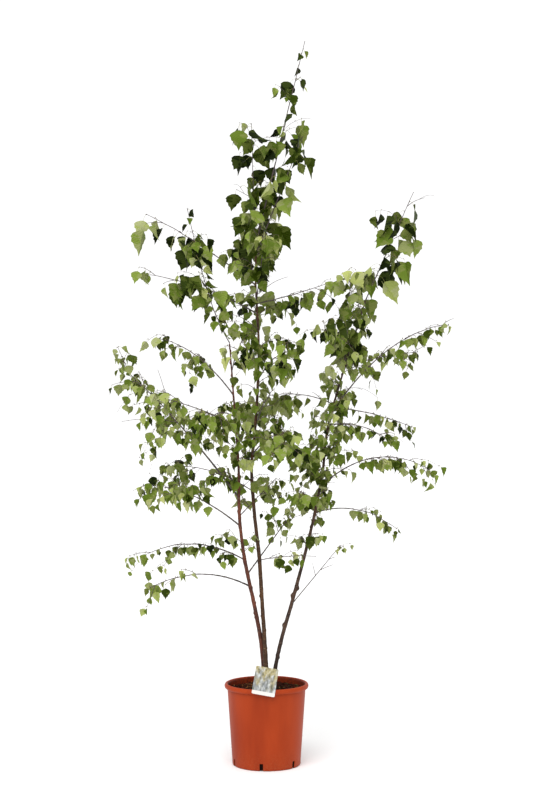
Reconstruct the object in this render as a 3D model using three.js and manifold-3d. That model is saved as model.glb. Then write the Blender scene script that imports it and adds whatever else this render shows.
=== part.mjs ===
// A young birch with three stems from one root, in leaf, grown in a moulded nursery pot.
// Units are millimetres. The origin is the centre of the pot's flat underside.
// X runs to the right, Y away from the viewer and Z up.

import * as THREE from 'three';
import * as BufferGeometryUtils from 'three/addons/utils/BufferGeometryUtils.js';
import Module from 'manifold-3d';

const wasm = await Module();
wasm.setup();

// Clearance between two pieces that rest against each other
const GAP = 0.3;

// Pot: a tapered shell with a rolled rim and slots round the foot
const POT_HEIGHT = 250;
const POT_FOOT_RADIUS = 105;
const POT_NECK_RADIUS = 121;
const POT_FOOT_ROUND = 2;
const POT_WALL = 2.5;
const POT_FLOOR = 3;
const RIM_RADIUS = 130;
const RIM_HEIGHT = 16;
const ROUND_SEGMENTS = 32;
const SLOT_COUNT = 6;
const SLOT_WIDTH = 11;
const SLOT_HEIGHT = 22;
const SLOT_INNER_RADIUS = 96;
const SLOT_TURN = THREE.MathUtils.degToRad(-98.6);

// Soil: fills the pot to a little below its rim
const SOIL_TOP = 230;

// Label: a card that leans on the middle stem and bends down over the rim
const LABEL_WIDTH = 70;
const LABEL_RUN = 120;
const LABEL_FLAP = 20;
const LABEL_THICKNESS = 0.8;
const LABEL_SLOPE = THREE.MathUtils.degToRad(22.4);
const LABEL_FLAP_SLOPE = THREE.MathUtils.degToRad(66);
const LABEL_TURN = THREE.MathUtils.degToRad(-1.2);
const LABEL_ROLL = THREE.MathUtils.degToRad(10);
const LABEL_TOP = 299.6;
const LABEL_SIDE = 3;
const LABEL_SET_OFF = 1.1;
const LABEL_HOLE_RADIUS = 2.5;
const LABEL_HOLE_DROP = 15;
const LABEL_HOLE_SIDE = -3;

// Stems: side and depth of the centre line at even heights from the soil to the top
const STEMS = {
  left: {
    top: 1300,
    side: [-4, -15, -39, -67, -83, -85, -93, -103, -113],
    depth: [12, 4, -8, -20, -32, -42, -50, -56, -60],
    foot: 7.5,
    tip: 1.9,
    color: 0x6e3b2c,
  },
  middle: {
    top: 1605,
    side: [1, -5, -14, -23, -38, -46, -34, -26, -25, -33, -33],
    depth: [-10, -6, -2, 2, 5, 8, 10, 10, 8, 4, 0],
    foot: 7.2,
    tip: 2.4,
    color: 0x5a3f22,
  },
  right: {
    top: 1440,
    side: [15, 42, 80, 117, 150, 176, 192, 229, 271, 313],
    depth: [5, 12, 22, 34, 46, 58, 70, 80, 90, 98],
    foot: 6.6,
    tip: 2,
    color: 0x4a3328,
  },
};
const STEM_SIDES = 8;
const STEM_STEP = 90;
const FLARE = 0.35;
const FLARE_HEIGHT = 30;
const STEM_CUT_DEPTH = 12;

// Knots left on the right stem where shoots were cut: height and side they face
const KNOTS = [
  { height: 425, turn: 2.6 },
  { height: 516, turn: 3.3 },
  { height: 541, turn: -0.2 },
];
const KNOT_RADIUS = 4;

// Twigs and leaves
const TWIG_TIP_RADIUS = 0.9;
const TWIG_ROOT_RADIUS = 1.5;
const BOUGH_SIDES = 5;
const TWIG_SIDES = 3;
const BOUGH_STEP = 75;
const SHOOT_STEP = 95;
const TWIG_STRETCHES = 1;
const GOLDEN_ANGLE = Math.PI * (3 - Math.sqrt(5));
const SPACE_SAMPLES = 25;
const SPACE_MARGIN = 2;
const CLEAR = 0.5;
const SEED = 41;

// How a side twig leaves its shoot: ahead, sideways and upward shares of its direction, the share of its
// length that it droops and that it shortens by towards the shoot's tip, and where its leaves begin
const TWIG_AHEAD = 0.7;
const TWIG_ASIDE = 0.75;
const TWIG_UP = 0.5;
const TWIG_DROOP = 0.22;
const TWIG_DWINDLE = 0.4;
const TWIG_LEAFY = 0.3;

// How a leaf hangs from its twig. The shares aside and up grow with the twig's steepness.
const LEAF_AHEAD = 0.35;
const LEAF_ASIDE = [0.5, 0.5];
const LEAF_UP = [0.3, 0.7];
const LEAF_DOWN = 0.85;

// A leaf's stalk, half width, widest place and fold are shares of its blade, which dwindles along the twig
const STALK = 0.3;
const LEAF_HALF_WIDTH = 0.44;
const LEAF_SHOULDER = 0.34;
const LEAF_FOLD = 0.06;
const LEAF_ENLARGED = 1.3;
const LEAF_FIRST = 1.1;
const LEAF_DWINDLE = 0.35;
const LEAF_SEAT = 0.35;
const LARGE_LEAF = 40;

// Limbs that leave the stems. Each runs from a height on its stem to a tip that lies so far to the side,
// away from the viewer and above its root, bowed up by arch at its middle. The part up to bare is a bough;
// the rest is the shoot that carries a mass of foliage. thick is the radius at the root, twigs and twig are
// the number and length of side twigs, leaf the real length of a blade, step the distance between leaves,
// and leafy the place on the shoot where its leaves begin. The tree has more leaves than are made here, so
// each is enlarged, which keeps the crown as full.
const LIMBS = [
  limb('left_low', 'left', 549, [-300, -140, 12],
    { arch: 40, bare: 0.38, thick: 2.6, leafy: 0.6, twigs: 3, twig: 80 }),
  limb('left_hook', 'left', 632, [-320, 80, 4],
    { arch: 43, thick: 2.5, leafy: 0.12, twigs: 4, twig: 85 }),
  limb('left_mid', 'left', 737, [-297, -30, 128],
    { arch: 31, bare: 0.25, thick: 2.6, twigs: 5, twig: 110 }),
  limb('left_back', 'middle', 843, [-278, 254, 65],
    { arch: 25, thick: 2, leafy: 0.5, twigs: 4, twig: 100 }),
  limb('left_strong', 'left', 824, [-358, 97, 395],
    { arch: 20, bare: 0.35, thick: 3.4, twigs: 9, twig: 190 }),
  limb('left_upper', 'left', 1048, [-201, -249, 82],
    { arch: 6, thick: 2.4, leafy: 0.15, twigs: 5, twig: 120 }),
  limb('left_front', 'left', 1070, [-73, -278, -3],
    { arch: 19, thick: 2, leafy: 0.15, twigs: 4, twig: 110 }),
  limb('left_arm', 'left', 1140, [-237, 135, 177],
    { arch: 36, bare: 0.2, thick: 2.2, twigs: 4, twig: 65 }),
  limb('left_top', 'left', 1300, [-128, -40, 408],
    { arch: -53, thick: 1.8, leafy: 0.15, twigs: 3, twig: 80, leaf: 42 }),
  limb('left_collar', 'left', 1211, [40, -163, 92],
    { arch: 19, thick: 1.7, leafy: 0.2, twigs: 3, twig: 70, leaf: 40 }),
  limb('cross_low', 'left', 588, [175, 146, 225],
    { bare: 0.45, thick: 2.4, twigs: 4, twig: 85 }),
  limb('centre_low', 'middle', 629, [169, -202, 32],
    { arch: 6, thick: 1.6, leafy: 0.3, twigs: 2, twig: 50 }),
  limb('centre_inner', 'left', 768, [114, 182, 108],
    { thick: 1.8, leafy: 0.5, twigs: 3, twig: 80 }),
  limb('middle_front', 'middle', 954, [103, -339, 41],
    { arch: 31, bare: 0.2, thick: 2.4, twigs: 5, twig: 130 }),
  limb('middle_back', 'middle', 1032, [54, 330, 110],
    { arch: 25, bare: 0.2, thick: 2.4, twigs: 5, twig: 120 }),
  limb('right_inner', 'right', 865, [-120, -155, 163],
    { arch: 6, bare: 0.3, thick: 2.4, twigs: 5, twig: 100 }),
  limb('right_inner_high', 'right', 1112, [-169, -16, 31],
    { arch: 12, thick: 1.7, leafy: 0.25, twigs: 3, twig: 75 }),
  limb('middle_high', 'middle', 1187, [89, -270, 79],
    { arch: 19, thick: 2.1, leafy: 0.15, twigs: 4, twig: 100, leaf: 40 }),
  limb('left_reach', 'middle', 1392, [-328, -66, 116],
    { arch: 19, bare: 0.25, thick: 2.4, twigs: 4, twig: 85, leaf: 44 }),
  limb('left_crest', 'middle', 1481, [-349, 116, 234],
    { arch: 12, bare: 0.3, thick: 2.2, twigs: 3, twig: 70, leaf: 47, step: 38 }),
  limb('right_reach', 'middle', 1423, [213, -65, 57],
    { arch: -3, thick: 2, leafy: 0.25, twigs: 3, twig: 60, leaf: 44 }),
  limb('crown_back', 'middle', 1528, [15, 190, 190],
    { arch: 16, thick: 2, leafy: 0.1, twigs: 5, twig: 110, leaf: 48 }),
  limb('crown_front', 'middle', 1430, [30, -200, 190],
    { arch: 16, thick: 2, leafy: 0.1, twigs: 5, twig: 110, leaf: 48 }),
  limb('middle_core', 'middle', 1320, [-20, 170, 150],
    { arch: 10, thick: 1.8, leafy: 0.1, twigs: 4, twig: 110, leaf: 42 }),
  limb('top_left', 'middle', 1530, [-14, 42, 460],
    { thick: 1.9, leafy: 0.08, twigs: 3, twig: 70, leaf: 54, step: 36 }),
  limb('leader', 'middle', 1605, [152, 0, 632],
    { thick: 2.4, leafy: 0.1, twigs: 3, twig: 60, leaf: 56, step: 40 }),
  limb('top_right', 'middle', 1575, [145, -40, 360],
    { thick: 1.9, leafy: 0.1, twigs: 2, twig: 70, leaf: 54, step: 40 }),
  limb('right_bare', 'right', 488, [146, -111, 193],
    { bare: 0.7, thick: 1.7, leafy: 0.7, twigs: 1, twig: 40, leaf: 24 }),
  limb('right_sprig', 'right', 800, [-60, -150, 50],
    { arch: 6, thick: 1.4, leafy: 0.25, twigs: 3, twig: 60 }),
  limb('right_low', 'right', 772, [267, 124, -60],
    { arch: 36, bare: 0.4, thick: 2.2, twigs: 3, twig: 75 }),
  limb('right_arm', 'right', 853, [337, -74, 56],
    { arch: 65, bare: 0.3, thick: 2.3, twigs: 5, twig: 75 }),
  limb('right_front', 'right', 1046, [164, -231, -35],
    { arch: 19, thick: 2, leafy: 0.15, twigs: 4, twig: 90 }),
  limb('right_level', 'right', 1100, [267, 185, -63],
    { arch: 12, bare: 0.35, thick: 2, twigs: 3, twig: 75 }),
  limb('right_long', 'right', 1084, [357, -114, 271],
    { arch: 65, bare: 0.35, thick: 2.4, twigs: 4, twig: 75 }),
  limb('right_high', 'right', 1232, [253, 245, 52],
    { arch: 6, bare: 0.25, thick: 2, twigs: 4, twig: 85 }),
  limb('right_spire', 'right', 1223, [18, -64, 300],
    { thick: 2, leafy: 0.08, twigs: 5, twig: 100, leaf: 44 }),
  limb('right_fan', 'right', 1298, [-102, -230, 37],
    { arch: 12, thick: 1.9, leafy: 0.12, twigs: 4, twig: 100, leaf: 44 }),
  limb('right_top', 'right', 1440, [150, -18, 340],
    { thick: 2, leafy: 0.04, twigs: 5, twig: 100, leaf: 48, step: 36 }),
];

function limb(name, stem, height, [side, depth, rise], form) {
  const usual = { arch: 0, bare: 0, leafy: 0.1, twigs: 4, twig: 80, leaf: 34, step: 29 };
  return { name, stem, height, side, depth, rise, ...usual, ...form };
}

// A repeatable run of numbers from 0 to 1
function seededRandom(seed) {
  let state = seed;
  return () => {
    state = (Math.imul(state, 1664525) + 1013904223) >>> 0;
    return state / 4294967296;
  };
}

function between(random, low, high) {
  return low + (high - low) * random();
}

// Solids

function solidFrom(corners, triangles) {
  const mesh = new wasm.Mesh({
    numProp: 3,
    vertProperties: new Float32Array(corners),
    triVerts: new Uint32Array(triangles),
  });
  return new wasm.Manifold(mesh);
}

// Takes a closed geometry to a solid, with its faces pointing out
function solidOf(geometry) {
  const bare = geometry.clone();
  bare.deleteAttribute('normal');
  bare.deleteAttribute('uv');
  const merged = BufferGeometryUtils.mergeVertices(bare);
  const faces = [];
  for (let k = 0; k < merged.index.count; k += 3) {
    const [a, b, c] = [merged.index.getX(k), merged.index.getX(k + 1), merged.index.getX(k + 2)];
    if (a !== b && b !== c && c !== a) {
      faces.push(a, b, c);
    }
  }
  const solid = solidFrom(merged.attributes.position.array, faces);
  return solid.volume() > 0 ? solid : solidFrom(merged.attributes.position.array, faces.reverse());
}

function geometryOf(solid) {
  const { numProp, vertProperties, triVerts } = solid.getMesh();
  const corners = new Float32Array((vertProperties.length / numProp) * 3);
  for (let k = 0; k < corners.length / 3; k += 1) {
    corners.set(vertProperties.subarray(k * numProp, k * numProp + 3), k * 3);
  }
  const geometry = new THREE.BufferGeometry();
  geometry.setAttribute('position', new THREE.BufferAttribute(corners, 3));
  geometry.setIndex(new THREE.BufferAttribute(new Uint32Array(triVerts), 1));
  geometry.computeVertexNormals();
  return geometry;
}

// Keeps the one main body: sealed hollows are filled and loose scraps dropped
function mainBody(solid) {
  return solid.decompose().reduce((best, part) => (part.volume() > best.volume() ? part : best));
}

// Pot and soil

function turned(profile) {
  return new THREE.LatheGeometry(profile, ROUND_SEGMENTS).rotateX(Math.PI / 2);
}

function wallRadius(height) {
  return POT_FOOT_RADIUS + ((POT_NECK_RADIUS - POT_FOOT_RADIUS) * height) / (POT_HEIGHT - RIM_HEIGHT);
}

function makePot() {
  const neck = POT_HEIGHT - RIM_HEIGHT;
  const innerNeck = POT_NECK_RADIUS - POT_WALL;
  const profile = [
    new THREE.Vector2(0, 0),
    new THREE.Vector2(POT_FOOT_RADIUS - POT_FOOT_ROUND, 0),
    new THREE.Vector2(wallRadius(POT_FOOT_ROUND), POT_FOOT_ROUND),
    new THREE.Vector2(POT_NECK_RADIUS, neck),
  ];
  const rimCentre = (RIM_RADIUS + innerNeck) / 2;
  const rimHalfWidth = (RIM_RADIUS - innerNeck) / 2;
  const arcSteps = 6;
  for (let k = 0; k <= arcSteps; k += 1) {
    const angle = -Math.PI / 3 + (k / arcSteps) * (Math.PI * 4) / 3;
    profile.push(new THREE.Vector2(
      rimCentre + rimHalfWidth * Math.cos(angle),
      neck + RIM_HEIGHT / 2 + (RIM_HEIGHT / 2) * Math.sin(angle),
    ));
  }
  profile.push(
    new THREE.Vector2(innerNeck, neck),
    new THREE.Vector2(wallRadius(POT_FLOOR) - POT_WALL, POT_FLOOR),
    new THREE.Vector2(0, POT_FLOOR),
  );
  let pot = solidOf(turned(profile));
  const slotDepth = POT_NECK_RADIUS - SLOT_INNER_RADIUS;
  for (let k = 0; k < SLOT_COUNT; k += 1) {
    const slot = new THREE.BoxGeometry(slotDepth, SLOT_WIDTH, SLOT_HEIGHT * 2);
    slot.translate(SLOT_INNER_RADIUS + slotDepth / 2, 0, 0);
    slot.rotateZ(SLOT_TURN + (k * 2 * Math.PI) / SLOT_COUNT);
    pot = pot.subtract(solidOf(slot));
  }
  return pot;
}

function makeSoil() {
  const bottom = POT_FLOOR + GAP;
  return solidOf(turned([
    new THREE.Vector2(0, bottom),
    new THREE.Vector2(wallRadius(bottom) - POT_WALL - GAP, bottom),
    new THREE.Vector2(wallRadius(SOIL_TOP) - POT_WALL - GAP, SOIL_TOP),
    new THREE.Vector2(0, SOIL_TOP),
  ]));
}

// Label

// A bent strip drawn from the side: along the run, then down the flap, and back along the underside
function makeLabel() {
  const runUp = new THREE.Vector2(Math.sin(LABEL_SLOPE), Math.cos(LABEL_SLOPE));
  const flapUp = new THREE.Vector2(Math.sin(LABEL_FLAP_SLOPE), Math.cos(LABEL_FLAP_SLOPE));
  const head = new THREE.Vector2(0, 0);
  const bend = new THREE.Vector2(runUp.y, -runUp.x).multiplyScalar(LABEL_RUN);
  const foot = bend.clone().add(new THREE.Vector2(flapUp.y, -flapUp.x).multiplyScalar(LABEL_FLAP));
  const bendUp = runUp.clone().add(flapUp).divideScalar(1 + runUp.dot(flapUp));
  const below = (point, up) => point.clone().addScaledVector(up, -LABEL_THICKNESS);
  const outline = new THREE.Shape([
    head, bend, foot, below(foot, flapUp), below(bend, bendUp), below(head, runUp),
  ]);
  const card = new THREE.ExtrudeGeometry(outline, { depth: LABEL_WIDTH, bevelEnabled: false });
  card.translate(0, 0, -LABEL_WIDTH / 2);
  card.applyMatrix4(new THREE.Matrix4().makeBasis(
    new THREE.Vector3(0, -1, 0),
    new THREE.Vector3(0, 0, 1),
    new THREE.Vector3(-1, 0, 0),
  ));
  const hole = new THREE.CylinderGeometry(LABEL_HOLE_RADIUS, LABEL_HOLE_RADIUS, 8, 12);
  hole.rotateX(Math.PI / 2 + LABEL_SLOPE);
  hole.translate(
    LABEL_HOLE_SIDE,
    -LABEL_HOLE_DROP * Math.cos(LABEL_SLOPE),
    -LABEL_HOLE_DROP * Math.sin(LABEL_SLOPE),
  );
  return solidOf(card).subtract(solidOf(hole));
}

// Stems and limbs

// A value read between evenly spaced ones, smoothed by a Catmull-Rom cubic
function smoothed(values, part) {
  const last = values.length - 1;
  const at = Math.min(Math.max(Math.floor(part * last), 0), last - 1);
  const u = part * last - at;
  const b = values[at];
  const c = values[at + 1];
  const a = at > 0 ? values[at - 1] : 2 * b - c;
  const d = at + 2 <= last ? values[at + 2] : 2 * c - b;
  const bend = 2 * a - 5 * b + 4 * c - d;
  const twist = 3 * b - a - 3 * c + d;
  return 0.5 * (2 * b + (c - a) * u + bend * u ** 2 + twist * u ** 3);
}

function stemPoint(name, height) {
  const part = (height - SOIL_TOP) / (STEMS[name].top - SOIL_TOP);
  return new THREE.Vector3(smoothed(STEMS[name].side, part), smoothed(STEMS[name].depth, part), height);
}

// Tapers evenly, with a flare at the root
function stemRadius(name, height) {
  const { foot, tip, top } = STEMS[name];
  const part = (height - SOIL_TOP) / (top - SOIL_TOP);
  return (foot + (tip - foot) * part) * (1 + FLARE * Math.exp((SOIL_TOP - height) / FLARE_HEIGHT));
}

function limbPoint(form, s) {
  const point = stemPoint(form.stem, form.height);
  point.x += form.side * s;
  point.y += form.depth * s;
  point.z += form.rise * s + 4 * form.arch * s * (1 - s);
  return point;
}

function limbRadius(form, s) {
  return form.thick + (TWIG_TIP_RADIUS - form.thick) * s;
}

function limbLength(form) {
  return Math.hypot(form.side, form.depth, form.rise);
}

// Directions square to a path that leans forward: one level, one upward
function squareTo(ahead) {
  const level = new THREE.Vector3(-ahead.y, ahead.x, 0);
  if (level.length() < 0.2) {
    level.set(1, 0, 0);
  }
  level.addScaledVector(ahead, -level.dot(ahead)).normalize();
  return [level, ahead.clone().cross(level)];
}

// A tapering rod: a ring of corners square to the path at each centre, the first corner upward,
// closed at both ends
function rod(centres, radii, sides) {
  const corners = [];
  const faces = [];
  const rings = centres.length;
  const [, across] = squareTo(centres[1].clone().sub(centres[0]).normalize());
  centres.forEach((centre, k) => {
    const ahead = centres[Math.min(k + 1, rings - 1)].clone().sub(centres[Math.max(k - 1, 0)]).normalize();
    across.addScaledVector(ahead, -across.dot(ahead)).normalize();
    const up = ahead.clone().cross(across);
    for (let j = 0; j < sides; j += 1) {
      const angle = (j * 2 * Math.PI) / sides;
      const corner = centre.clone()
        .addScaledVector(across, radii[k] * Math.cos(angle))
        .addScaledVector(up, radii[k] * Math.sin(angle));
      corners.push(...corner.toArray());
    }
  });
  for (let k = 0; k + 1 < rings; k += 1) {
    for (let j = 0; j < sides; j += 1) {
      const a = k * sides + j;
      const b = k * sides + ((j + 1) % sides);
      faces.push(a, b, b + sides, a, b + sides, a + sides);
    }
  }
  const end = (rings - 1) * sides;
  for (let j = 1; j + 1 < sides; j += 1) {
    faces.push(0, j + 1, j, end, end + j, end + j + 1);
  }
  return solidFrom(corners, faces);
}

// How many straight stretches a length is made of, each at most `step` long
function stretchCount(length, step) {
  return Math.max(2, Math.ceil(length / step));
}

function evenly(from, to, count) {
  return Array.from({ length: count + 1 }, (_, k) => from + ((to - from) * k) / count);
}

// The same path in even straight stretches
function straightened(path, count) {
  return (t) => {
    const at = Math.min(Math.floor(t * count), count - 1);
    return path(at / count).lerp(path((at + 1) / count), t * count - at);
  };
}

// Runs on into the soil and is cut off flat, a gap above it
function makeStem(name, swell) {
  const { top } = STEMS[name];
  const straight = evenly(SOIL_TOP + FLARE_HEIGHT, top, stretchCount(top - SOIL_TOP, STEM_STEP));
  const heights = [SOIL_TOP - STEM_CUT_DEPTH, SOIL_TOP + FLARE_HEIGHT / 2, ...straight];
  const centres = heights.map((height) => stemPoint(name, height));
  const radii = heights.map((height) => stemRadius(name, height) + swell);
  const ground = new THREE.BoxGeometry(POT_FOOT_RADIUS, POT_FOOT_RADIUS, 4 * STEM_CUT_DEPTH);
  ground.translate(0, 0, SOIL_TOP + GAP - 2 * STEM_CUT_DEPTH);
  return rod(centres, radii, STEM_SIDES).subtract(solidOf(ground));
}

function makeKnot({ height, turn }) {
  const centre = stemPoint('right', height);
  const reach = stemRadius('right', height);
  const knot = new THREE.IcosahedronGeometry(KNOT_RADIUS, 0);
  knot.translate(centre.x + reach * Math.cos(turn), centre.y + reach * Math.sin(turn), centre.z);
  return solidOf(knot);
}

function makeBough(form) {
  const stations = evenly(0, form.bare, stretchCount(limbLength(form) * form.bare, BOUGH_STEP));
  return rod(
    stations.map((s) => limbPoint(form, s)),
    stations.map((s) => limbRadius(form, s)),
    BOUGH_SIDES,
  );
}

// Foliage

function directionAt(path, t) {
  return path(Math.min(t + 0.02, 1)).sub(path(Math.max(t - 0.02, 0))).normalize();
}

// Side twigs leave their shoot alternately, turned by the golden angle, and get shorter towards its tip
function sideTwigs(form, shoot, random) {
  return Array.from({ length: form.twigs }, (_, k) => {
    const t = (k + between(random, 0.3, 0.8)) / form.twigs;
    const turn = k * GOLDEN_ANGLE + between(random, 0, 1.2);
    const length = form.twig * between(random, 0.7, 1.3) * (1 - TWIG_DWINDLE * t);
    const ahead = directionAt(shoot, t);
    const [level, up] = squareTo(ahead);
    const direction = ahead.multiplyScalar(TWIG_AHEAD)
      .addScaledVector(level, TWIG_ASIDE * Math.cos(turn))
      .addScaledVector(up, TWIG_UP * Math.sin(turn))
      .normalize();
    const root = shoot(t);
    const curve = (u) => {
      const point = root.clone().addScaledVector(direction, length * u);
      point.z -= TWIG_DROOP * length * u * u;
      return point;
    };
    return { path: straightened(curve, TWIG_STRETCHES), length };
  });
}

function twigRadius(u) {
  return TWIG_ROOT_RADIUS + (TWIG_TIP_RADIUS - TWIG_ROOT_RADIUS) * u;
}

// Leaves follow each other round a path at even steps, and hang from it tip down
function leavesAlong(form, path, length, thickness, from, random) {
  const count = Math.max(1, Math.round((length * (1 - from)) / form.step));
  return Array.from({ length: count + 1 }, (_, k) => {
    const t = from + ((1 - from) * (k + between(random, -0.15, 0.15))) / count;
    const turn = k * GOLDEN_ANGLE + between(random, 0, 1);
    const blade = form.leaf * between(random, 0.72, 1.22) * (LEAF_FIRST - LEAF_DWINDLE * t);
    const facing = between(random, 0, 2 * Math.PI);
    const place = Math.min(Math.max(t, 0.02), 0.99);
    const ahead = directionAt(path, place);
    const steep = Math.abs(ahead.z);
    const [level, up] = squareTo(ahead);
    const hang = ahead.multiplyScalar(LEAF_AHEAD)
      .addScaledVector(level, (LEAF_ASIDE[0] + LEAF_ASIDE[1] * steep) * Math.cos(turn))
      .addScaledVector(up, (LEAF_UP[0] + LEAF_UP[1] * steep) * Math.sin(turn));
    hang.z -= LEAF_DOWN;
    hang.normalize();
    const wide = new THREE.Vector3(Math.cos(facing), Math.sin(facing), 0);
    wide.addScaledVector(hang, -wide.dot(hang)).normalize();
    const size = LEAF_ENLARGED * blade;
    return { root: path(place), hang, wide, size, sunk: LEAF_SEAT * thickness(place) };
  });
}

// Stalk and blade in one kite, folded a little along its midrib and thickest at its middle: four faces
function leafSolid({ root, hang, wide, size, sunk }) {
  const normal = wide.clone().cross(hang);
  const middle = size * (STALK + LEAF_SHOULDER);
  const at = (along, across, out) => root.clone()
    .addScaledVector(hang, sunk + along)
    .addScaledVector(wide, across)
    .addScaledVector(normal, out)
    .toArray();
  const corners = [
    at(0, 0, 0),
    at(size * (1 + STALK), 0, 0),
    at(middle, -size * LEAF_HALF_WIDTH, size * LEAF_FOLD),
    at(middle, size * LEAF_HALF_WIDTH, size * LEAF_FOLD),
  ];
  return solidFrom(corners.flat(), [0, 1, 3, 0, 2, 1, 0, 3, 2, 1, 2, 3]);
}

// Places along every shoot; a mass keeps to the space that is nearer to its own shoot than to any other
const SPACE = LIMBS.flatMap((form, owner) => Array.from({ length: SPACE_SAMPLES }, (_, k) => (
  { owner, point: limbPoint(form, form.bare + ((1 - form.bare) * k) / (SPACE_SAMPLES - 1)) }
)));

function inOwnSpace(owner, point) {
  let own = Infinity;
  let other = Infinity;
  SPACE.forEach((sample) => {
    const distance = sample.point.distanceTo(point);
    if (sample.owner === owner) {
      own = Math.min(own, distance);
    } else {
      other = Math.min(other, distance);
    }
  });
  return own + SPACE_MARGIN < other;
}

function boxesMeet(a, b) {
  return [0, 1, 2].every((k) => a.min[k] <= b.max[k] + CLEAR && b.min[k] <= a.max[k] + CLEAR);
}

function boxed(solid) {
  return { solid, box: solid.boundingBox() };
}

function touches(piece, others) {
  return others.some(({ solid, box }) => boxesMeet(piece.box, box) && piece.solid.minGap(solid, 1) < CLEAR);
}

// The shoot that a mass grows on, from its bough's tip or its stem to its own tip
function makeShoot(form, swollenStem) {
  const start = form.bare > 0 ? form.bare + GAP / limbLength(form) : 0;
  const length = limbLength(form) * (1 - start);
  const stretches = stretchCount(length, SHOOT_STEP);
  const path = straightened((t) => limbPoint(form, start + (1 - start) * t), stretches);
  const thickness = (t) => limbRadius(form, start + (1 - start) * t);
  const stations = evenly(0, 1, stretches);
  const whole = rod(stations.map(path), stations.map(thickness), TWIG_SIDES);
  const clear = form.bare > 0 ? whole : mainBody(whole.subtract(swollenStem));
  return { ...boxed(clear), path, thickness, length };
}

// A twig is kept where it stays in its own space and touches no neighbour, and a leaf where it also touches
// nothing of its own mass but the twig that it grows on
function makeMass(form, owner, shoot, neighbours) {
  const random = seededRandom(SEED + 17 * owner);
  const pieces = [shoot];
  const sprays = [{
    host: shoot,
    leaves: leavesAlong(form, shoot.path, shoot.length, shoot.thickness, form.leafy, random),
  }];
  sideTwigs(form, shoot.path, random).forEach(({ path, length }) => {
    const joints = evenly(0, 1, TWIG_STRETCHES);
    const twig = boxed(rod(joints.map(path), joints.map(twigRadius), TWIG_SIDES));
    const leaves = leavesAlong(form, path, length, twigRadius, TWIG_LEAFY, random);
    if (inOwnSpace(owner, path(0.6)) && inOwnSpace(owner, path(1)) && !touches(twig, neighbours)) {
      pieces.push(twig);
      sprays.push({ host: twig, leaves });
    }
  });
  sprays.forEach(({ host, leaves }) => leaves.forEach((leaf) => {
    const heart = leaf.root.clone().addScaledVector(leaf.hang, leaf.size * (STALK + LEAF_SHOULDER));
    const solid = boxed(leafSolid(leaf));
    const others = pieces.filter((piece) => piece !== host);
    if (inOwnSpace(owner, heart) && !touches(solid, neighbours) && !touches(solid, others)) {
      pieces.push(solid);
    }
  }));
  return mainBody(wasm.Manifold.union(pieces.map(({ solid }) => solid)));
}

// Assembly

const tree = new THREE.Group();

function material(color, roughness) {
  return new THREE.MeshStandardMaterial({ color, roughness, metalness: 0 });
}

function addPiece(name, solid, finish, parent = tree) {
  const mesh = new THREE.Mesh(geometryOf(solid), finish);
  mesh.name = name;
  parent.add(mesh);
}

addPiece('pot', makePot(), material(0xb5401c, 0.45));
addPiece('soil', makeSoil(), material(0x2b1b12, 0.95));

const labelStem = stemPoint('middle', LABEL_TOP);
const labelPlace = new THREE.Group();
labelPlace.position.set(
  LABEL_SIDE,
  labelStem.y - stemRadius('middle', LABEL_TOP) - GAP - LABEL_SET_OFF,
  LABEL_TOP,
);
labelPlace.rotation.z = LABEL_TURN;
const labelRoll = new THREE.Group();
labelRoll.rotation.y = LABEL_ROLL;
labelPlace.add(labelRoll);
tree.add(labelPlace);
addPiece('label', makeLabel(), material(0xd6d2bf, 0.4), labelRoll);

const limbs = [];
const swollenStems = {};
Object.keys(STEMS).forEach((name) => {
  let stem = makeStem(name, 0);
  if (name === 'right') {
    stem = KNOTS.reduce((whole, knot) => whole.add(makeKnot(knot)), stem);
  }
  swollenStems[name] = makeStem(name, GAP);
  limbs.push(boxed(stem));
  addPiece(`stem_${name}`, stem, material(STEMS[name].color, 0.6));
});

LIMBS.filter((form) => form.bare > 0).forEach((form) => {
  const bough = mainBody(makeBough(form).subtract(swollenStems[form.stem]));
  limbs.push(boxed(bough));
  addPiece(`bough_${form.name}`, bough, material(0x5f4a40, 0.65));
});

const shoots = LIMBS.map((form) => makeShoot(form, swollenStems[form.stem]));
const masses = [];
LIMBS.forEach((form, owner) => {
  const otherShoots = shoots.filter((shoot) => shoot !== shoots[owner]);
  const mass = makeMass(form, owner, shoots[owner], [...limbs, ...otherShoots, ...masses]);
  masses.push(boxed(mass));
  addPiece(`mass_${form.name}`, mass, material(form.leaf < LARGE_LEAF ? 0x6b8a2e : 0x4f6d22, 0.5));
});

export default tree;
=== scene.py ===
"""A young birch with three stems from one root, in leaf, in a moulded nursery pot.

Lengths are worked out in millimetres and put into the meshes in metres. X runs to the right, Y away from
the viewer and Z up. The stems, limbs and twigs follow the same rule and the same random numbers as the
part's solids, and go on from there to finer twigs, leaf stalks, buds and leaves of real size.
"""

import math
from functools import partial
from types import SimpleNamespace

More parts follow.
